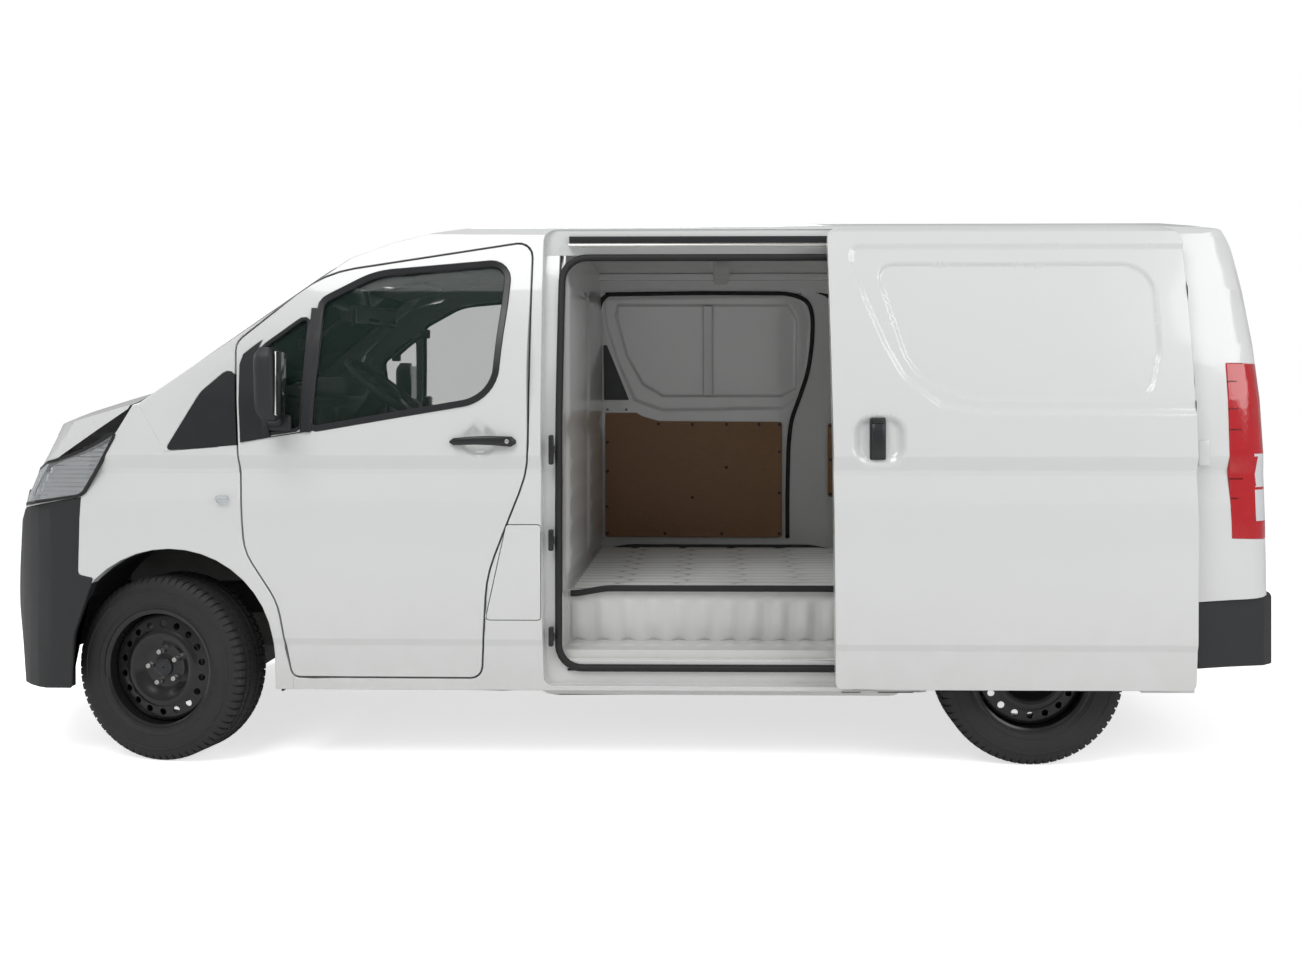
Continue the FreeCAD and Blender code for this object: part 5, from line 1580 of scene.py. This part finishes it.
def step_rib(x):
    return bump_of((x / STEP_RIB_PITCH) % 1.0 - 0.5, 0.42)


def step_ribs(x, y):
    return 0.0062 * step_rib(x) * smooth_step((0.80 - abs(y)) / 0.03)


def riser(sign):
    """The ribbed upright between the step and the load floor."""
    rows = []
    for i in range(RISER_COLUMNS):
        x = STEP_FROM + (STEP_TO - STEP_FROM) * i / (RISER_COLUMNS - 1)
        depth = 0.0015 + 0.009 * step_rib(x)
        rows.append([Vector((x, sign * (RISER_Y + depth * share), z)) for z, share in RISER])
    bm = bmesh.new()
    grid_faces(bm, rows)
    return bm


floors = [ribbed((FLOOR_FROM, -FLOOR_HALF_Y), (FLOOR_TO, FLOOR_HALF_Y), FLOOR_Z, floor_ribs)]
risers = []
for sign in (1, -1):
    low_y, high_y = sorted((sign * FLOOR_HALF_Y, sign * BAY_HALF_Y))
    floors.append(ribbed((BAY_FROM, low_y), (FLOOR_TO, high_y), FLOOR_Z, floor_ribs))
    low_y, high_y = sorted((sign * STEP_NEAR, sign * STEP_FAR))
    risers += [riser(sign), ribbed((STEP_FROM, low_y), (STEP_TO, high_y), STEP_Z, step_ribs, 1)]
piece("load_floor_ribs", merged(*floors), FLOOR_WHITE, "van")
piece("step_pressings", merged(*risers), FLOOR_WHITE, "van")

# Seals at the edges of the step
EDGE_BEAD = [(-0.010, -0.012), (0.010, -0.012), (0.012, 0.0), (0.009, 0.010), (-0.009, 0.010), (-0.012, 0.0)]
FLAT_BEAD = [(-0.010, -0.004), (0.010, -0.004), (0.010, 0.004), (-0.010, 0.004)]


def floor_edge(share, sign):
    x = 0.175 - 1.20 * share
    rise = smooth_step((0.175 - x) / 0.16) * smooth_step((x + 0.99) / 0.16)
    return Vector((x, sign * 0.700, 0.598 + 0.020 * rise))


edge_seals = []
for sign in (1, -1):
    edge_seals.append(swept(along(59, lambda t: floor_edge(t, sign)), EDGE_BEAD, up=UP))
    for z, y in ((0.360, 0.885), (0.344, 0.892)):
        path = along(20, lambda t: Vector((0.165 - 1.17 * t, sign * y, z)))
        edge_seals.append(swept(path, FLAT_BEAD, up=UP))
piece("step_edge_seals", merged(*edge_seals), RUBBER, "van", crisp=40)

# Doorway rails and latches, and black strips above the top rails that paint their shadow line
LATCHES = ((1.108, 1.218), (0.790, 0.870), (0.437, 0.510))
LOW_RAIL = [(-0.016, -0.003), (0.016, -0.003), (0.016, 0.006), (0.010, 0.006), (0.008, 0.001),
            (-0.008, 0.001), (-0.010, 0.006), (-0.016, 0.006)]


# A strip along the top of the doorway: the steel rail, and the black strip that paints the shadow line above
# it
def top_strip(sign, z, depth, wide):
    section = [(-0.010, -wide), (0.010, -wide), (0.012, 0.0), (0.010, wide), (-0.010, wide)]
    path = along(20, lambda t: Vector((0.172 - 1.22 * t, sign * (side_y(z) - depth), z)))
    return swept(path, section, up=UP)


rails, channels_and_shadow_strips, latches = [], [], []
for sign in (1, -1):
    # Black strip above the top rail: a painted shadow line under the roof edge, not a part
    channels_and_shadow_strips.append(top_strip(sign, 1.958, 0.030, 0.012))
    rails.append(top_strip(sign, 1.934, 0.026, 0.005))
    rails.append(swept(along(20, lambda t: Vector((0.150 - 1.15 * t, sign * 0.868, 0.363))), LOW_RAIL, up=UP))
    for low, high in LATCHES:
        middle = (low + high) / 2
        y = side_y(middle) - 0.020
        latches.append(handed_box(sign, (0.2125, y - 0.022, low), (0.2310, y, high), 0.006, 3))
        latches.append(handed_box(sign, (0.2080, y - 0.010, middle - 0.016),
                                  (0.2200, y + 0.006, middle + 0.016), 0.004))
piece("door_rail_strips", merged(*rails), STEEL, "van", ("door_rails",), 30)
# The black strips are painted shadow lines above the top rails
piece("door_rail_painted_shadow", merged(*channels_and_shadow_strips), TRIM, "van", crisp=40)
piece("doorway_latches", merged(*latches), TRIM, "van", crisp=40)

# Lining boards with their fasteners
BOARD = metres(rounded([
    (-1484, 1308, 10), (-1606, 1308, 25), (-1672, 1262, 60), (-1760, 1236, 60), (-2388, 1232, 12),
    (-2388, 644, 12), (-1484, 644, 12),
], 8))
PINS = [
    (-1496, 1296), (-1592, 1296), (-1756, 1222), (-1930, 1219), (-2104, 1219), (-2270, 1219), (-2374, 1218),
    (-1496, 1128), (-1496, 980), (-1496, 800), (-1496, 662), (-2374, 1080), (-2374, 870), (-2374, 662),
    (-1930, 846), (-2104, 1000), (-1790, 662), (-2080, 662),
]
REAR_BOARD = metres(rounded([(-2620, 1226, 14), (-3860, 1226, 14), (-3860, 850, 14), (-2620, 850, 14)], 10))
REAR_PINS = [(-2634 - 244 * k, z) for k in range(6) for z in (1212, 864)] + [(-2634, 1040), (-3846, 1040)]
PIN = [(0.0075, -0.001), (0.0075, 0.0008), (0.0055, 0.0022), (0.002, 0.0026), (0.0015, 0.0012),
       (0.0012, -0.001)]
BOARD_Y, BOARD_THICK, BOARD_EDGE = 0.897, 0.006, 0.0015


def plate(outline, sign):
    """A lining board with rounded edges standing across Y."""
    bm = bmesh.new()
    bm.faces.new([bm.verts.new((p.x, BOARD_Y * sign, p.y)) for p in outline])
    thickened(bm, Vector((0.0, -sign * BOARD_THICK, 0.0)))
    rims = [edge for edge in bm.edges if edge.calc_face_angle(0.0) > 1.0]
    bmesh.ops.bevel(bm, geom=rims, offset=BOARD_EDGE, segments=1, profile=0.5, affect="EDGES")
    return bm


def pins(spots, sign):
    heads = []
    for ahead, z in spots:
        head = revolved(PIN, 12)
        if sign > 0:
            turned_about(head, "Z", 180)
        place = Vector((row_x(ahead), sign * (BOARD_Y - BOARD_THICK), z / 1000))
        bmesh.ops.translate(head, vec=place, verts=head.verts)
        heads.append(head)
    return heads


boards = [plate(REAR_BOARD, 1), plate(BOARD, -1), plate(REAR_BOARD, -1)]
heads = pins(REAR_PINS, 1) + pins(PINS, -1) + pins(REAR_PINS, -1)
piece("lining_boards", merged(*boards), WOOD, "van", ("lining_panels",), 30)
piece("lining_fasteners", merged(*heads), TRIM, "van", crisp=40)


# Cab
HELM_RADIUS, HELM_GRIP = 0.186, 0.0155
HELM_AT, HELM_TILT = (0.965, 0.43, 1.39), -38
HELM_PAD = [(0.002, -0.030), (0.060, -0.026), (0.072, -0.010), (0.070, 0.012), (0.052, 0.024),
            (0.002, 0.028)]
COLUMN = [(0.027, -0.330), (0.036, -0.300), (0.038, -0.080), (0.046, -0.045), (0.020, -0.028),
          (0.020, -0.330)]
SPOKES = (90, 215, 325)
SPOKE = ((0.055, -0.004), (0.095, -0.010), (0.140, -0.008), (0.178, 0.0))


def steering():
    """The steering wheel with its column, in its own upright frame."""
    turns = [math.tau * k / 72 for k in range(72)]
    circle = [Vector((HELM_RADIUS * math.cos(t), HELM_RADIUS * math.sin(t), 0.0)) for t in turns]
    parts = [swept(circle, round_section(HELM_GRIP, 14), closed=True, up=UP),
             turned_about(revolved(HELM_PAD, 36), "X", 90)]
    for degrees in SPOKES:
        turn = math.radians(degrees)
        out = Vector((-math.sin(turn), math.cos(turn), 0.0)) if degrees != 90 else -AHEAD
        points = [out * r + Vector((0, 0, z)) for r, z in SPOKE]
        parts.append(blended_sweep(points, [0.026, 0.019, 0.016, 0.018], [0.011, 0.008, 0.007, 0.009], up=UP))
    return merged(*parts, turned_about(revolved(COLUMN, 24), "X", 90))


helm = steering()
place = Matrix.Translation(HELM_AT) @ Matrix.Rotation(math.radians(HELM_TILT), 4, "Y")
bmesh.ops.transform(helm, matrix=place, verts=helm.verts)
piece("steering_wheel_rim", helm, DASH, "van", ("steering_wheel",), 50)
panel("dashboard_moulding", "dashboard", DASH, "van", bevel=0.012)

BINNACLE = ((1.075, 0.285, 1.362), (1.265, 0.600, 1.438), 0.030, 4)
CONSOLE = ((1.040, -0.190, 0.960), (1.110, 0.170, 1.345), 0.018, 3)
GLOVE_BOX = ((1.060, -0.800, 1.150), (1.095, -0.300, 1.300), 0.014, 3)
SCREEN = ((1.030, -0.095, 1.200), (1.046, 0.100, 1.325), 0.004, 2)
VENTS = ((0.760, 1.285), (0.215, 1.300), (-0.235, 1.300), (-0.780, 1.330))
fittings = [bevelled_box(*box) for box in (BINNACLE, CONSOLE, GLOVE_BOX)]
piece("dash_fittings", merged(*fittings), DASH_PALE, "van", crisp=50)
vents = []
for y, z in VENTS:
    vents.append(bevelled_box((1.046, y - 0.052, z - 0.034), (1.075, y + 0.052, z + 0.034), 0.008))
    for k in range(4):
        slat = z - 0.026 + 0.015 * k
        vents.append(bevelled_box((1.040, y - 0.044, slat), (1.050, y + 0.044, slat + 0.005), 0.001, 1))
piece("dash_vents", merged(*vents, bevelled_box(*SCREEN)), TRIM, "van", crisp=40)

grips = []
for sign in (1, -1):
    start, end = Vector((1.205, sign * 0.735, 1.560)), Vector((1.050, sign * 0.700, 1.672))
    inward = Vector((0, -sign * 0.042, 0))
    points = along(12, lambda t: start + (end - start) * t + inward * math.sin(math.pi * t) ** 0.45)
    grips.append(blended_sweep(points, [0.013] * 13, [0.009] * 13, up=UP))
    for foot in (start, end):
        low = foot - Vector((0.022, 0.010, 0.022))
        grips.append(bevelled_box(low, low + Vector((0.044, 0.020, 0.044)), 0.007))
piece("pillar_grab_handles", merged(*grips), DASH_PALE, "van", crisp=50)

# Inner mirror and sun visors
glass = bevelled_box((-0.006, -0.122, -0.036), (0.000, 0.122, 0.036), 0.0028)
shell = bevelled_box((-0.002, -0.130, -0.043), (0.030, 0.130, 0.043), 0.014, 4)
stem = blended_sweep([Vector(spot) for spot in ((0.020, 0, 0.010), (0.050, 0, 0.050), (0.075, -0.02, 0.085),
                                                (0.095, -0.03, 0.112))], [0.010] * 4, [0.010] * 4)
place = Matrix.Translation((1.100, 0.060, 1.712)) @ Matrix.Rotation(math.radians(-30), 4, "Z")
for name, mesh, material in (
    ("inner_mirror_shell", merged(shell, stem), DASH), ("inner_mirror_glass", glass, MIRROR),
):
    bmesh.ops.transform(mesh, matrix=place, verts=mesh.verts)
    piece(name, mesh, material, "van", crisp=45)
visors = [bevelled_box((0.930, low, 1.842), (1.130, low + 0.44, 1.858), 0.006, 3) for low in (0.10, -0.54)]
tilt = Matrix.Rotation(math.radians(14), 3, "Y")
for visor in visors:
    bmesh.ops.rotate(visor, cent=(1.03, 0, 1.85), matrix=tilt, verts=visor.verts)
piece("sun_visors", merged(*visors), DASH_PALE, "van", crisp=45)


# Seats
SWELL_FRAMES = 20
SWELL_PRESSURE, SWELL_REACH = 4.0, 0.022
SEATS = (
    ("driver_seat", 0.185, 0.675, (0.43,)),
    ("bench_seat", -0.775, 0.125, (-0.56, -0.10)),
)
SINGLE = 0.6
CUSHION_X, CUSHION_Z, CUSHION_GAP = (0.455, 0.870), (0.822, 0.935), 0.022
BACK_X, BACK_Z = (0.375, 0.470), (0.960, 1.485)
REST_X, REST_Z, REST_HALF = (0.285, 0.335), (1.553, 1.672), 0.115


def swelled(name, data):
    """The mesh after a pressed cloth simulation, moved no further than its reach."""
    start = np.empty(len(data.vertices) * 3)
    data.vertices.foreach_get("co", start)
    soft = loose(name + "_cloth", data)
    settings = soft.modifiers.new("swell", "CLOTH").settings
    settings.use_pressure = True
    settings.uniform_pressure_force = SWELL_PRESSURE
    settings.effector_weights.gravity = 0.0
    settings.quality = 4
    for step in range(SWELL_FRAMES):
        bpy.context.scene.frame_set(step + 1)
    data = with_modifiers(soft)
    bpy.context.scene.frame_set(1)
    moved = np.empty(len(data.vertices) * 3)
    data.vertices.foreach_get("co", moved)
    shift = (moved - start).reshape(-1, 3)
    reach = np.linalg.norm(shift, axis=1, keepdims=True)
    capped = start.reshape(-1, 3) + shift * np.minimum(1.0, SWELL_REACH / np.maximum(reach, 1e-9))
    data.vertices.foreach_set("co", capped.ravel())
    return data


def stuffed(name, low, high, radius, voxel, channels_and_shadow_strips, lean, pivot, face):
    """A cushion swelled by a cloth simulation, its sewn channels drawn in and its form leaned back."""
    source = loose(name + "_form", bevelled_box(low, high, radius, 4))
    remesh = source.modifiers.new("even", "REMESH")
    remesh.mode, remesh.voxel_size = "VOXEL", voxel * 1.0
    data = with_modifiers(source)
    data = swelled(name, data)
    bm = bmesh.new()
    bm.from_mesh(data)
    bpy.data.meshes.remove(data)
    bm.normal_update()
    for vert in bm.verts:
        seen = vert.normal.z if face == "top" else abs(vert.normal.x)
        pulls = [depth * math.exp(-((vert.co[axis] - value) / width) ** 2)
                 for axis, value, depth, width in channels_and_shadow_strips]
        vert.co -= vert.normal * max(pulls) * smooth_step((seen + 0.1) / 0.7)
    turn = Matrix.Translation((pivot[0], 0, pivot[1])) @ Matrix.Rotation(math.radians(lean), 4, "Y")
    turn = turn @ Matrix.Translation((-pivot[0], 0, -pivot[1]))
    bmesh.ops.transform(bm, matrix=turn, verts=bm.verts)
    made = piece(name, bm, SEAT, "van")
    return made


stalks = []
for name, low, high, rests in SEATS:
    sides = [low + 0.085, high - 0.085]
    if high - low > SINGLE:
        sides.insert(1, (low + high) / 2)
    near, far = low + CUSHION_GAP, high - CUSHION_GAP
    base = stuffed(f"{name}_cushion", (CUSHION_X[0], near, CUSHION_Z[0]), (CUSHION_X[1], far, CUSHION_Z[1]),
                   0.040, 0.011,
                   [(1, y, 0.016, 0.007) for y in sides] + [(0, x, 0.012, 0.007) for x in (0.60, 0.74)],
                   -3.0, (0.66, 0.88), "top")
    if name == "driver_seat":
        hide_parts("seats")
    stuffed(f"{name}_back", (BACK_X[0], near, BACK_Z[0]), (BACK_X[1], far, BACK_Z[1]), 0.042,
            0.011, [(1, y, 0.015, 0.007) for y in sides] + [(2, z, 0.010, 0.007) for z in (1.12, 1.26)],
            -12.0, (0.42, 0.96), "any")
    for index, y in enumerate(rests):
        stuffed(f"{name}_rest_{index}", (REST_X[0], y - REST_HALF, REST_Z[0]),
                (REST_X[1], y + REST_HALF, REST_Z[1]), 0.022, 0.008, [(2, 1.600, 0.006, 0.005)],
                -4.0, (0.31, 1.6), "any")
        for gap in (-0.06, 0.06):
            spots = [Vector((0.325 + 0.006 * k, y + gap, 1.60 - 0.035 * k)) for k in range(5)]
            stalks.append(swept(spots, round_section(0.006)))
piece("head_rest_stalks", merged(*stalks), STEEL, "van")


# Far wall, bulkhead and other inner forms
def inner_y(tree, x, z, side, default):
    hit = tree.ray_cast(Vector((x, 0.0, z)), Vector((0, side, 0)))[0]
    return abs(hit.y) if hit else default


FAR_SEAL = [
    (0.160, 1.874), (-0.300, 1.880), (-0.760, 1.878), (-0.860, 1.845), (-0.884, 1.760), (-0.880, 1.620),
    (-0.862, 1.480), (-0.822, 1.360), (-0.778, 1.240), (-0.765, 1.100), (-0.760, 0.860), (-0.760, 0.640),
]
far_door = tree_of("sliding_door_right", "body_side_right")


def far_post(share):
    z = 1.372 + 0.448 * share
    return Vector((-0.354, -(inner_y(far_door, -0.6, z, -1, 0.9) + 0.010), z))


bar = swept(along(11, far_post), flat_section(-0.024, 0.024, -0.004, 0.020, 0.004))
piece("far_door_post", bar, INNER, "van", crisp=40)

spots = resampled([Vector(p) for p in FAR_SEAL], 0.022, closed=False)
for _ in range(4):
    spots = [spots[0]] + [(a + b * 2 + c) / 4 for a, b, c in zip(spots, spots[1:], spots[2:])] + [spots[-1]]
path = [Vector((p.x, -(inner_y(far_door, p.x, p.y, -1, 0.9) - 0.006), p.y)) for p in spots]
piece("far_door_seal", swept(path, round_section(0.0105)), RUBBER, "van")


DRAPE_STEP = 0.04


def draped_plate(outline, tree, sign, lift, thick, inside=False):
    """A thin plate that follows the skin under an outline given in metres along X and up."""
    bm = bmesh.new()
    face = bm.faces.new([bm.verts.new((p.x, 0.0, p.y)) for p in outline])
    bmesh.ops.triangulate(bm, faces=[face])
    zs = [p.y for p in outline]
    xs = [p.x for p in outline]
    cut_along(bm, 2, steps(min(zs), max(zs), DRAPE_STEP))
    cut_along(bm, 0, steps(min(xs), max(xs), DRAPE_STEP))
    for vert in bm.verts:
        x, z = vert.co.x, vert.co.z
        if inside:
            vert.co.y = sign * (inner_y(tree, x, z, sign, 0.90) - lift)
        else:
            vert.co.y = sign * (abs(on_skin(tree, x, z, sign, 0.0, side_y(z)).y) + lift)
    thickened(bm, Vector((0.0, sign * thick * (-1 if inside else 1), 0.0)))
    return bm


# A black sheet on the far door's inner face, in front of its window ring: painted shade of the recess there
dark = [Vector(p) for p in ((0.176, 1.622), (0.158, 1.622), (0.048, 1.344), (0.176, 1.344))]
shade_sheet = draped_plate(dark, far_door, -1, 0.002, 0.003, inside=True)
piece("quarter_painted_shade", shade_sheet, TRIM, "van", crisp=40)


def rounded_box(low, high, radius, step):
    """The outline of a rectangle between two corners, its own corners rounded."""
    (a, b), (c, d) = low, high
    return rounded([(a, b, radius), (c, b, radius), (c, d, radius), (a, d, radius)], step)


# Bulkhead and roof bows
SHEET_LOW, SHEET_HIGH, SHEET_X = 0.625, 1.235, 0.1845
SHEET_ROWS, SHEET_COLUMNS = 60, 90
fields = [outline_distance(rounded_box((low, bottom), (high, top), 0.05, 0.01))
          for low, high in ((-0.76, -0.07), (0.07, 0.76)) for bottom, top in ((0.68, 1.20), (1.27, 1.80))]


def bulkhead_sheet():
    """The bulkhead's rear face, with four pressed fields and ribs across the lower two."""
    rows = []
    for i in range(SHEET_ROWS):
        z = SHEET_LOW + SHEET_HIGH * i / (SHEET_ROWS - 1)
        half = side_y(z) - 0.085
        row = []
        for j in range(SHEET_COLUMNS):
            y = -half + 2 * half * j / (SHEET_COLUMNS - 1)
            depth = sum(0.011 * smooth_step((field(y, z) + 0.02) / 0.04) for field in fields)
            if 0.72 < z < 1.16 and 0.12 < abs(y) < 0.71:
                depth += 0.006 * bump_of((z - 0.70) / 0.115 % 1.0 - 0.5, 0.25)
            row.append(Vector((SHEET_X - depth, y, z)))
        rows.append(row)
    return skinned(rows)


piece("bulkhead_pressings", bulkhead_sheet(), INNER, "van")

BOW = [(-0.040, 0.006), (-0.028, -0.012), (0.028, -0.012), (0.040, 0.006)]
BOW_HALF, BOW_TOP, BOW_FALL = 0.66, 1.985, 0.060


def bow_spot(x, share):
    y = BOW_HALF * (2 * share - 1)
    return Vector((x, y, BOW_TOP - BOW_FALL * (abs(y) / BOW_HALF) ** 3))


roof_bows = [swept(along(24, lambda t: bow_spot(x, t)), BOW, up=UP) for x in (-0.42, -1.05, -1.68)]
piece("roof_bows", merged(*roof_bows), INNER, "van", crisp=30)

# Door sails, indicators, rail caps
SAIL = metres([Vector(p) for p in (
    (-287, 1190), (-400, 1209), (-552, 1232), (-548, 1240), (-500, 1228), (-374, 1208), (-366, 1216),
    (-352, 1380), (-337, 1542), (-350, 1572), (-318, 1548), (-282, 1518), (-270, 1480), (-276, 1330),
)])
INDICATOR_X, CAP_FRONT, CAP_BACK = row_x(-223), row_x(-3793), row_x(-3838)
indicators, caps = [], []
for side, sign in SIDES:
    sail = draped_plate(SAIL, tree_of(f"front_door_{side}"), sign, 0.0006, 0.0035)
    piece(f"door_sail_{side}", sail, TRIM, f"front_door_{side}_body", crisp=40)
    indicators.append(handed_box(sign, (INDICATOR_X - 0.024, 0.962, 0.969),
                                 (INDICATOR_X + 0.024, 0.979, 0.995), 0.009, 3))
    caps.append(handed_box(sign, (CAP_BACK, 0.950, 1.107), (CAP_FRONT, 0.9745, 1.201), 0.006, 3))
piece("wing_indicators", merged(*indicators), CLEAR, "van", crisp=50)
piece("rail_end_caps", merged(*caps), WHITE, "van", crisp=50)

# Mud flaps and jacking brackets below the sills
FLAPS = (
    ((1.222, 0.700, 0.262), (1.232, 0.915, 0.420), 0.004),
    ((1.098, 0.790, 0.268), (1.205, 0.900, 0.290), 0.004),
    ((-0.925, 0.800, 0.262), (-0.850, 0.905, 0.300), 0.005),
    ((-1.120, 0.800, 0.262), (-0.985, 0.905, 0.300), 0.005),
)
flaps = [handed_box(sign, *flap) for sign in (1, -1) for flap in FLAPS]
piece("mud_flaps", merged(*flaps), RUBBER, "van", crisp=40)

# Front grille bars, lower intake and blank plates
INTAKE_BARS = ((0.445, 0.47), (0.475, 0.48), (0.505, 0.49), (0.535, 0.49))


def intake_bar(z, half):
    """One bar of the lower intake, bowed with the nose."""
    ys = along(30, lambda t: half * (2 * t - 1))
    path = [nose_warp(Vector((2.470 - 0.075 * (abs(y) / 0.6) ** 2, y, z))) for y in ys]
    return blended_sweep(path, [0.012] * 31, [0.0055] * 31, power=3.0, up=UP)


bars = [intake_bar(*bar) for bar in INTAKE_BARS]
piece("lower_grille_bars", merged(*bars), TRIM, "van", crisp=45)
backing = bevelled_box((row_x(745), -0.53, 0.420), (row_x(753), 0.53, 0.570), 0.003)
piece("lower_grille_backing", backing, RUBBER, "van")


def on_end(tree, y, z, sign, default):
    hit = tree.ray_cast(Vector((sign * 4.0, y, z)), Vector((-sign, 0, 0)))[0]
    return hit.x if hit else default


PLATE_STEP, PLATE_CORNER = 0.03, 0.012


def end_plate(tree, low, high, sign, lift, thick, warp, corner=PLATE_CORNER):
    """A thin plate bowed with the nose or the tail, between two (y, z) corners."""
    outline = resampled(rounded_box(low, high, corner, 0.004), 0.02)
    bm = bmesh.new()
    face = bm.faces.new([bm.verts.new((0.0, p.x, p.y)) for p in outline])
    bmesh.ops.triangulate(bm, faces=[face])
    cut_along(bm, 1, steps(low[0], high[0], PLATE_STEP))
    for vert in bm.verts:
        vert.co.x = on_end(tree, vert.co.y, vert.co.z, sign, 0.0)
        vert.co = warp(vert.co)
        vert.co.x += sign * lift
    thickened(bm, Vector((sign * thick, 0.0, 0.0)))
    rims = [edge for edge in bm.edges if edge.is_manifold and edge.calc_face_angle(0.0) > 1.0]
    bmesh.ops.bevel(bm, geom=rims, offset=thick * 0.3, segments=1, profile=0.5, affect="EDGES")
    return bm


def keep(point):
    return point


bumper = tree_of("front_bumper")
frame_plate = end_plate(bumper, (-0.272, 0.598), (0.272, 0.722), 1, 0.0005, 0.004, nose_warp)
piece("front_plate_frame", frame_plate, TRIM, "van", crisp=40)
blank = end_plate(bumper, (-0.258, 0.607), (0.258, 0.713), 1, 0.004, 0.002, nose_warp)
piece("front_plate_blank", blank, PLATE, "van", crisp=40)

# Tailgate: blank plate, handle, wiper, brake lamp and the seal of its glass
GLASS_X = -2.45
GLASS_MIDDLE, SEAL_SHARE, SEAL_SINK = 1.53, 0.985, 0.004
BOSS = [(0.024, -0.012), (0.024, 0.014), (0.018, 0.022), (0.002, 0.023), (0.002, -0.012)]
gate = tree_of("tailgate")
gate_glass = tree_of("tailgate_glass", "tailgate")


def wiper_spot(share):
    y, z = 0.02 + 0.44 * share, 1.236 + 0.050 * smooth_step(share * 1.6)
    return Vector((on_end(gate_glass, y, z, -1, GLASS_X) - 0.020, y, z))


blank = end_plate(gate, (-0.258, 0.850), (0.258, 0.960), -1, 0.004, 0.002, tail_warp)
piece("tail_plate_blank", blank, PLATE, "tailgate_body", crisp=40)
arm = along(8, wiper_spot)
blade = [p + Vector((0.011, 0.0, 0.004)) for p in arm[2:]]
boss = turned_about(revolved(BOSS, 24), "Z", 90)
bmesh.ops.translate(boss, vec=arm[0], verts=boss.verts)
trims = [
    end_plate(gate, (-0.272, 0.840), (0.272, 0.970), -1, 0.0005, 0.0035, tail_warp),
    end_plate(gate, (-0.330, 1.005), (0.330, 1.062), -1, 0.001, 0.022, tail_warp, 0.016),
    blended_sweep(arm, [0.011 - 0.0006 * k for k in range(9)], [0.006] * 9, up=AHEAD),
    blended_sweep(blade, [0.006] * 7, [0.007] * 7, up=AHEAD),
    boss,
]
piece("tailgate_trims", merged(*trims), TRIM, "tailgate_body", crisp=40)
lamp = end_plate(gate, (-0.11, 1.862), (0.11, 1.886), -1, 0.001, 0.010, tail_warp, 0.006)
piece("high_brake_lamp", lamp, RED, "tailgate_body", crisp=40)
outline = rounded([
    (-0.665, 1.262, 0.05), (0.665, 1.262, 0.05), (0.598, 1.796, 0.06), (-0.598, 1.796, 0.06),
], 0.01)
ring = []
for spot in resampled(outline, SEAL_STEP):
    height = GLASS_MIDDLE + (spot.y - GLASS_MIDDLE) * SEAL_SHARE
    x = on_end(gate_glass, spot.x * SEAL_SHARE, height, -1, GLASS_X)
    ring.append(Vector((x - SEAL_SINK, spot.x, spot.y)))
seal = ring_on(ring, flat_section(-0.012, 0.006, -0.002, 0.012, 0.003), -AHEAD)
piece("tailgate_glass_seal", seal, RUBBER, "tailgate_body", crisp=45)

# Rear reflectors
rear = tree_of("rear_bumper")
marks = []
for sign in (1, -1):
    near, far = sorted((sign * 0.60, sign * 0.76))
    marks.append(end_plate(rear, (near, 0.470), (far, 0.500), -1, 0.0005, 0.006, keep, 0.008))
piece("rear_reflectors", merged(*marks), RED, "van", crisp=40)
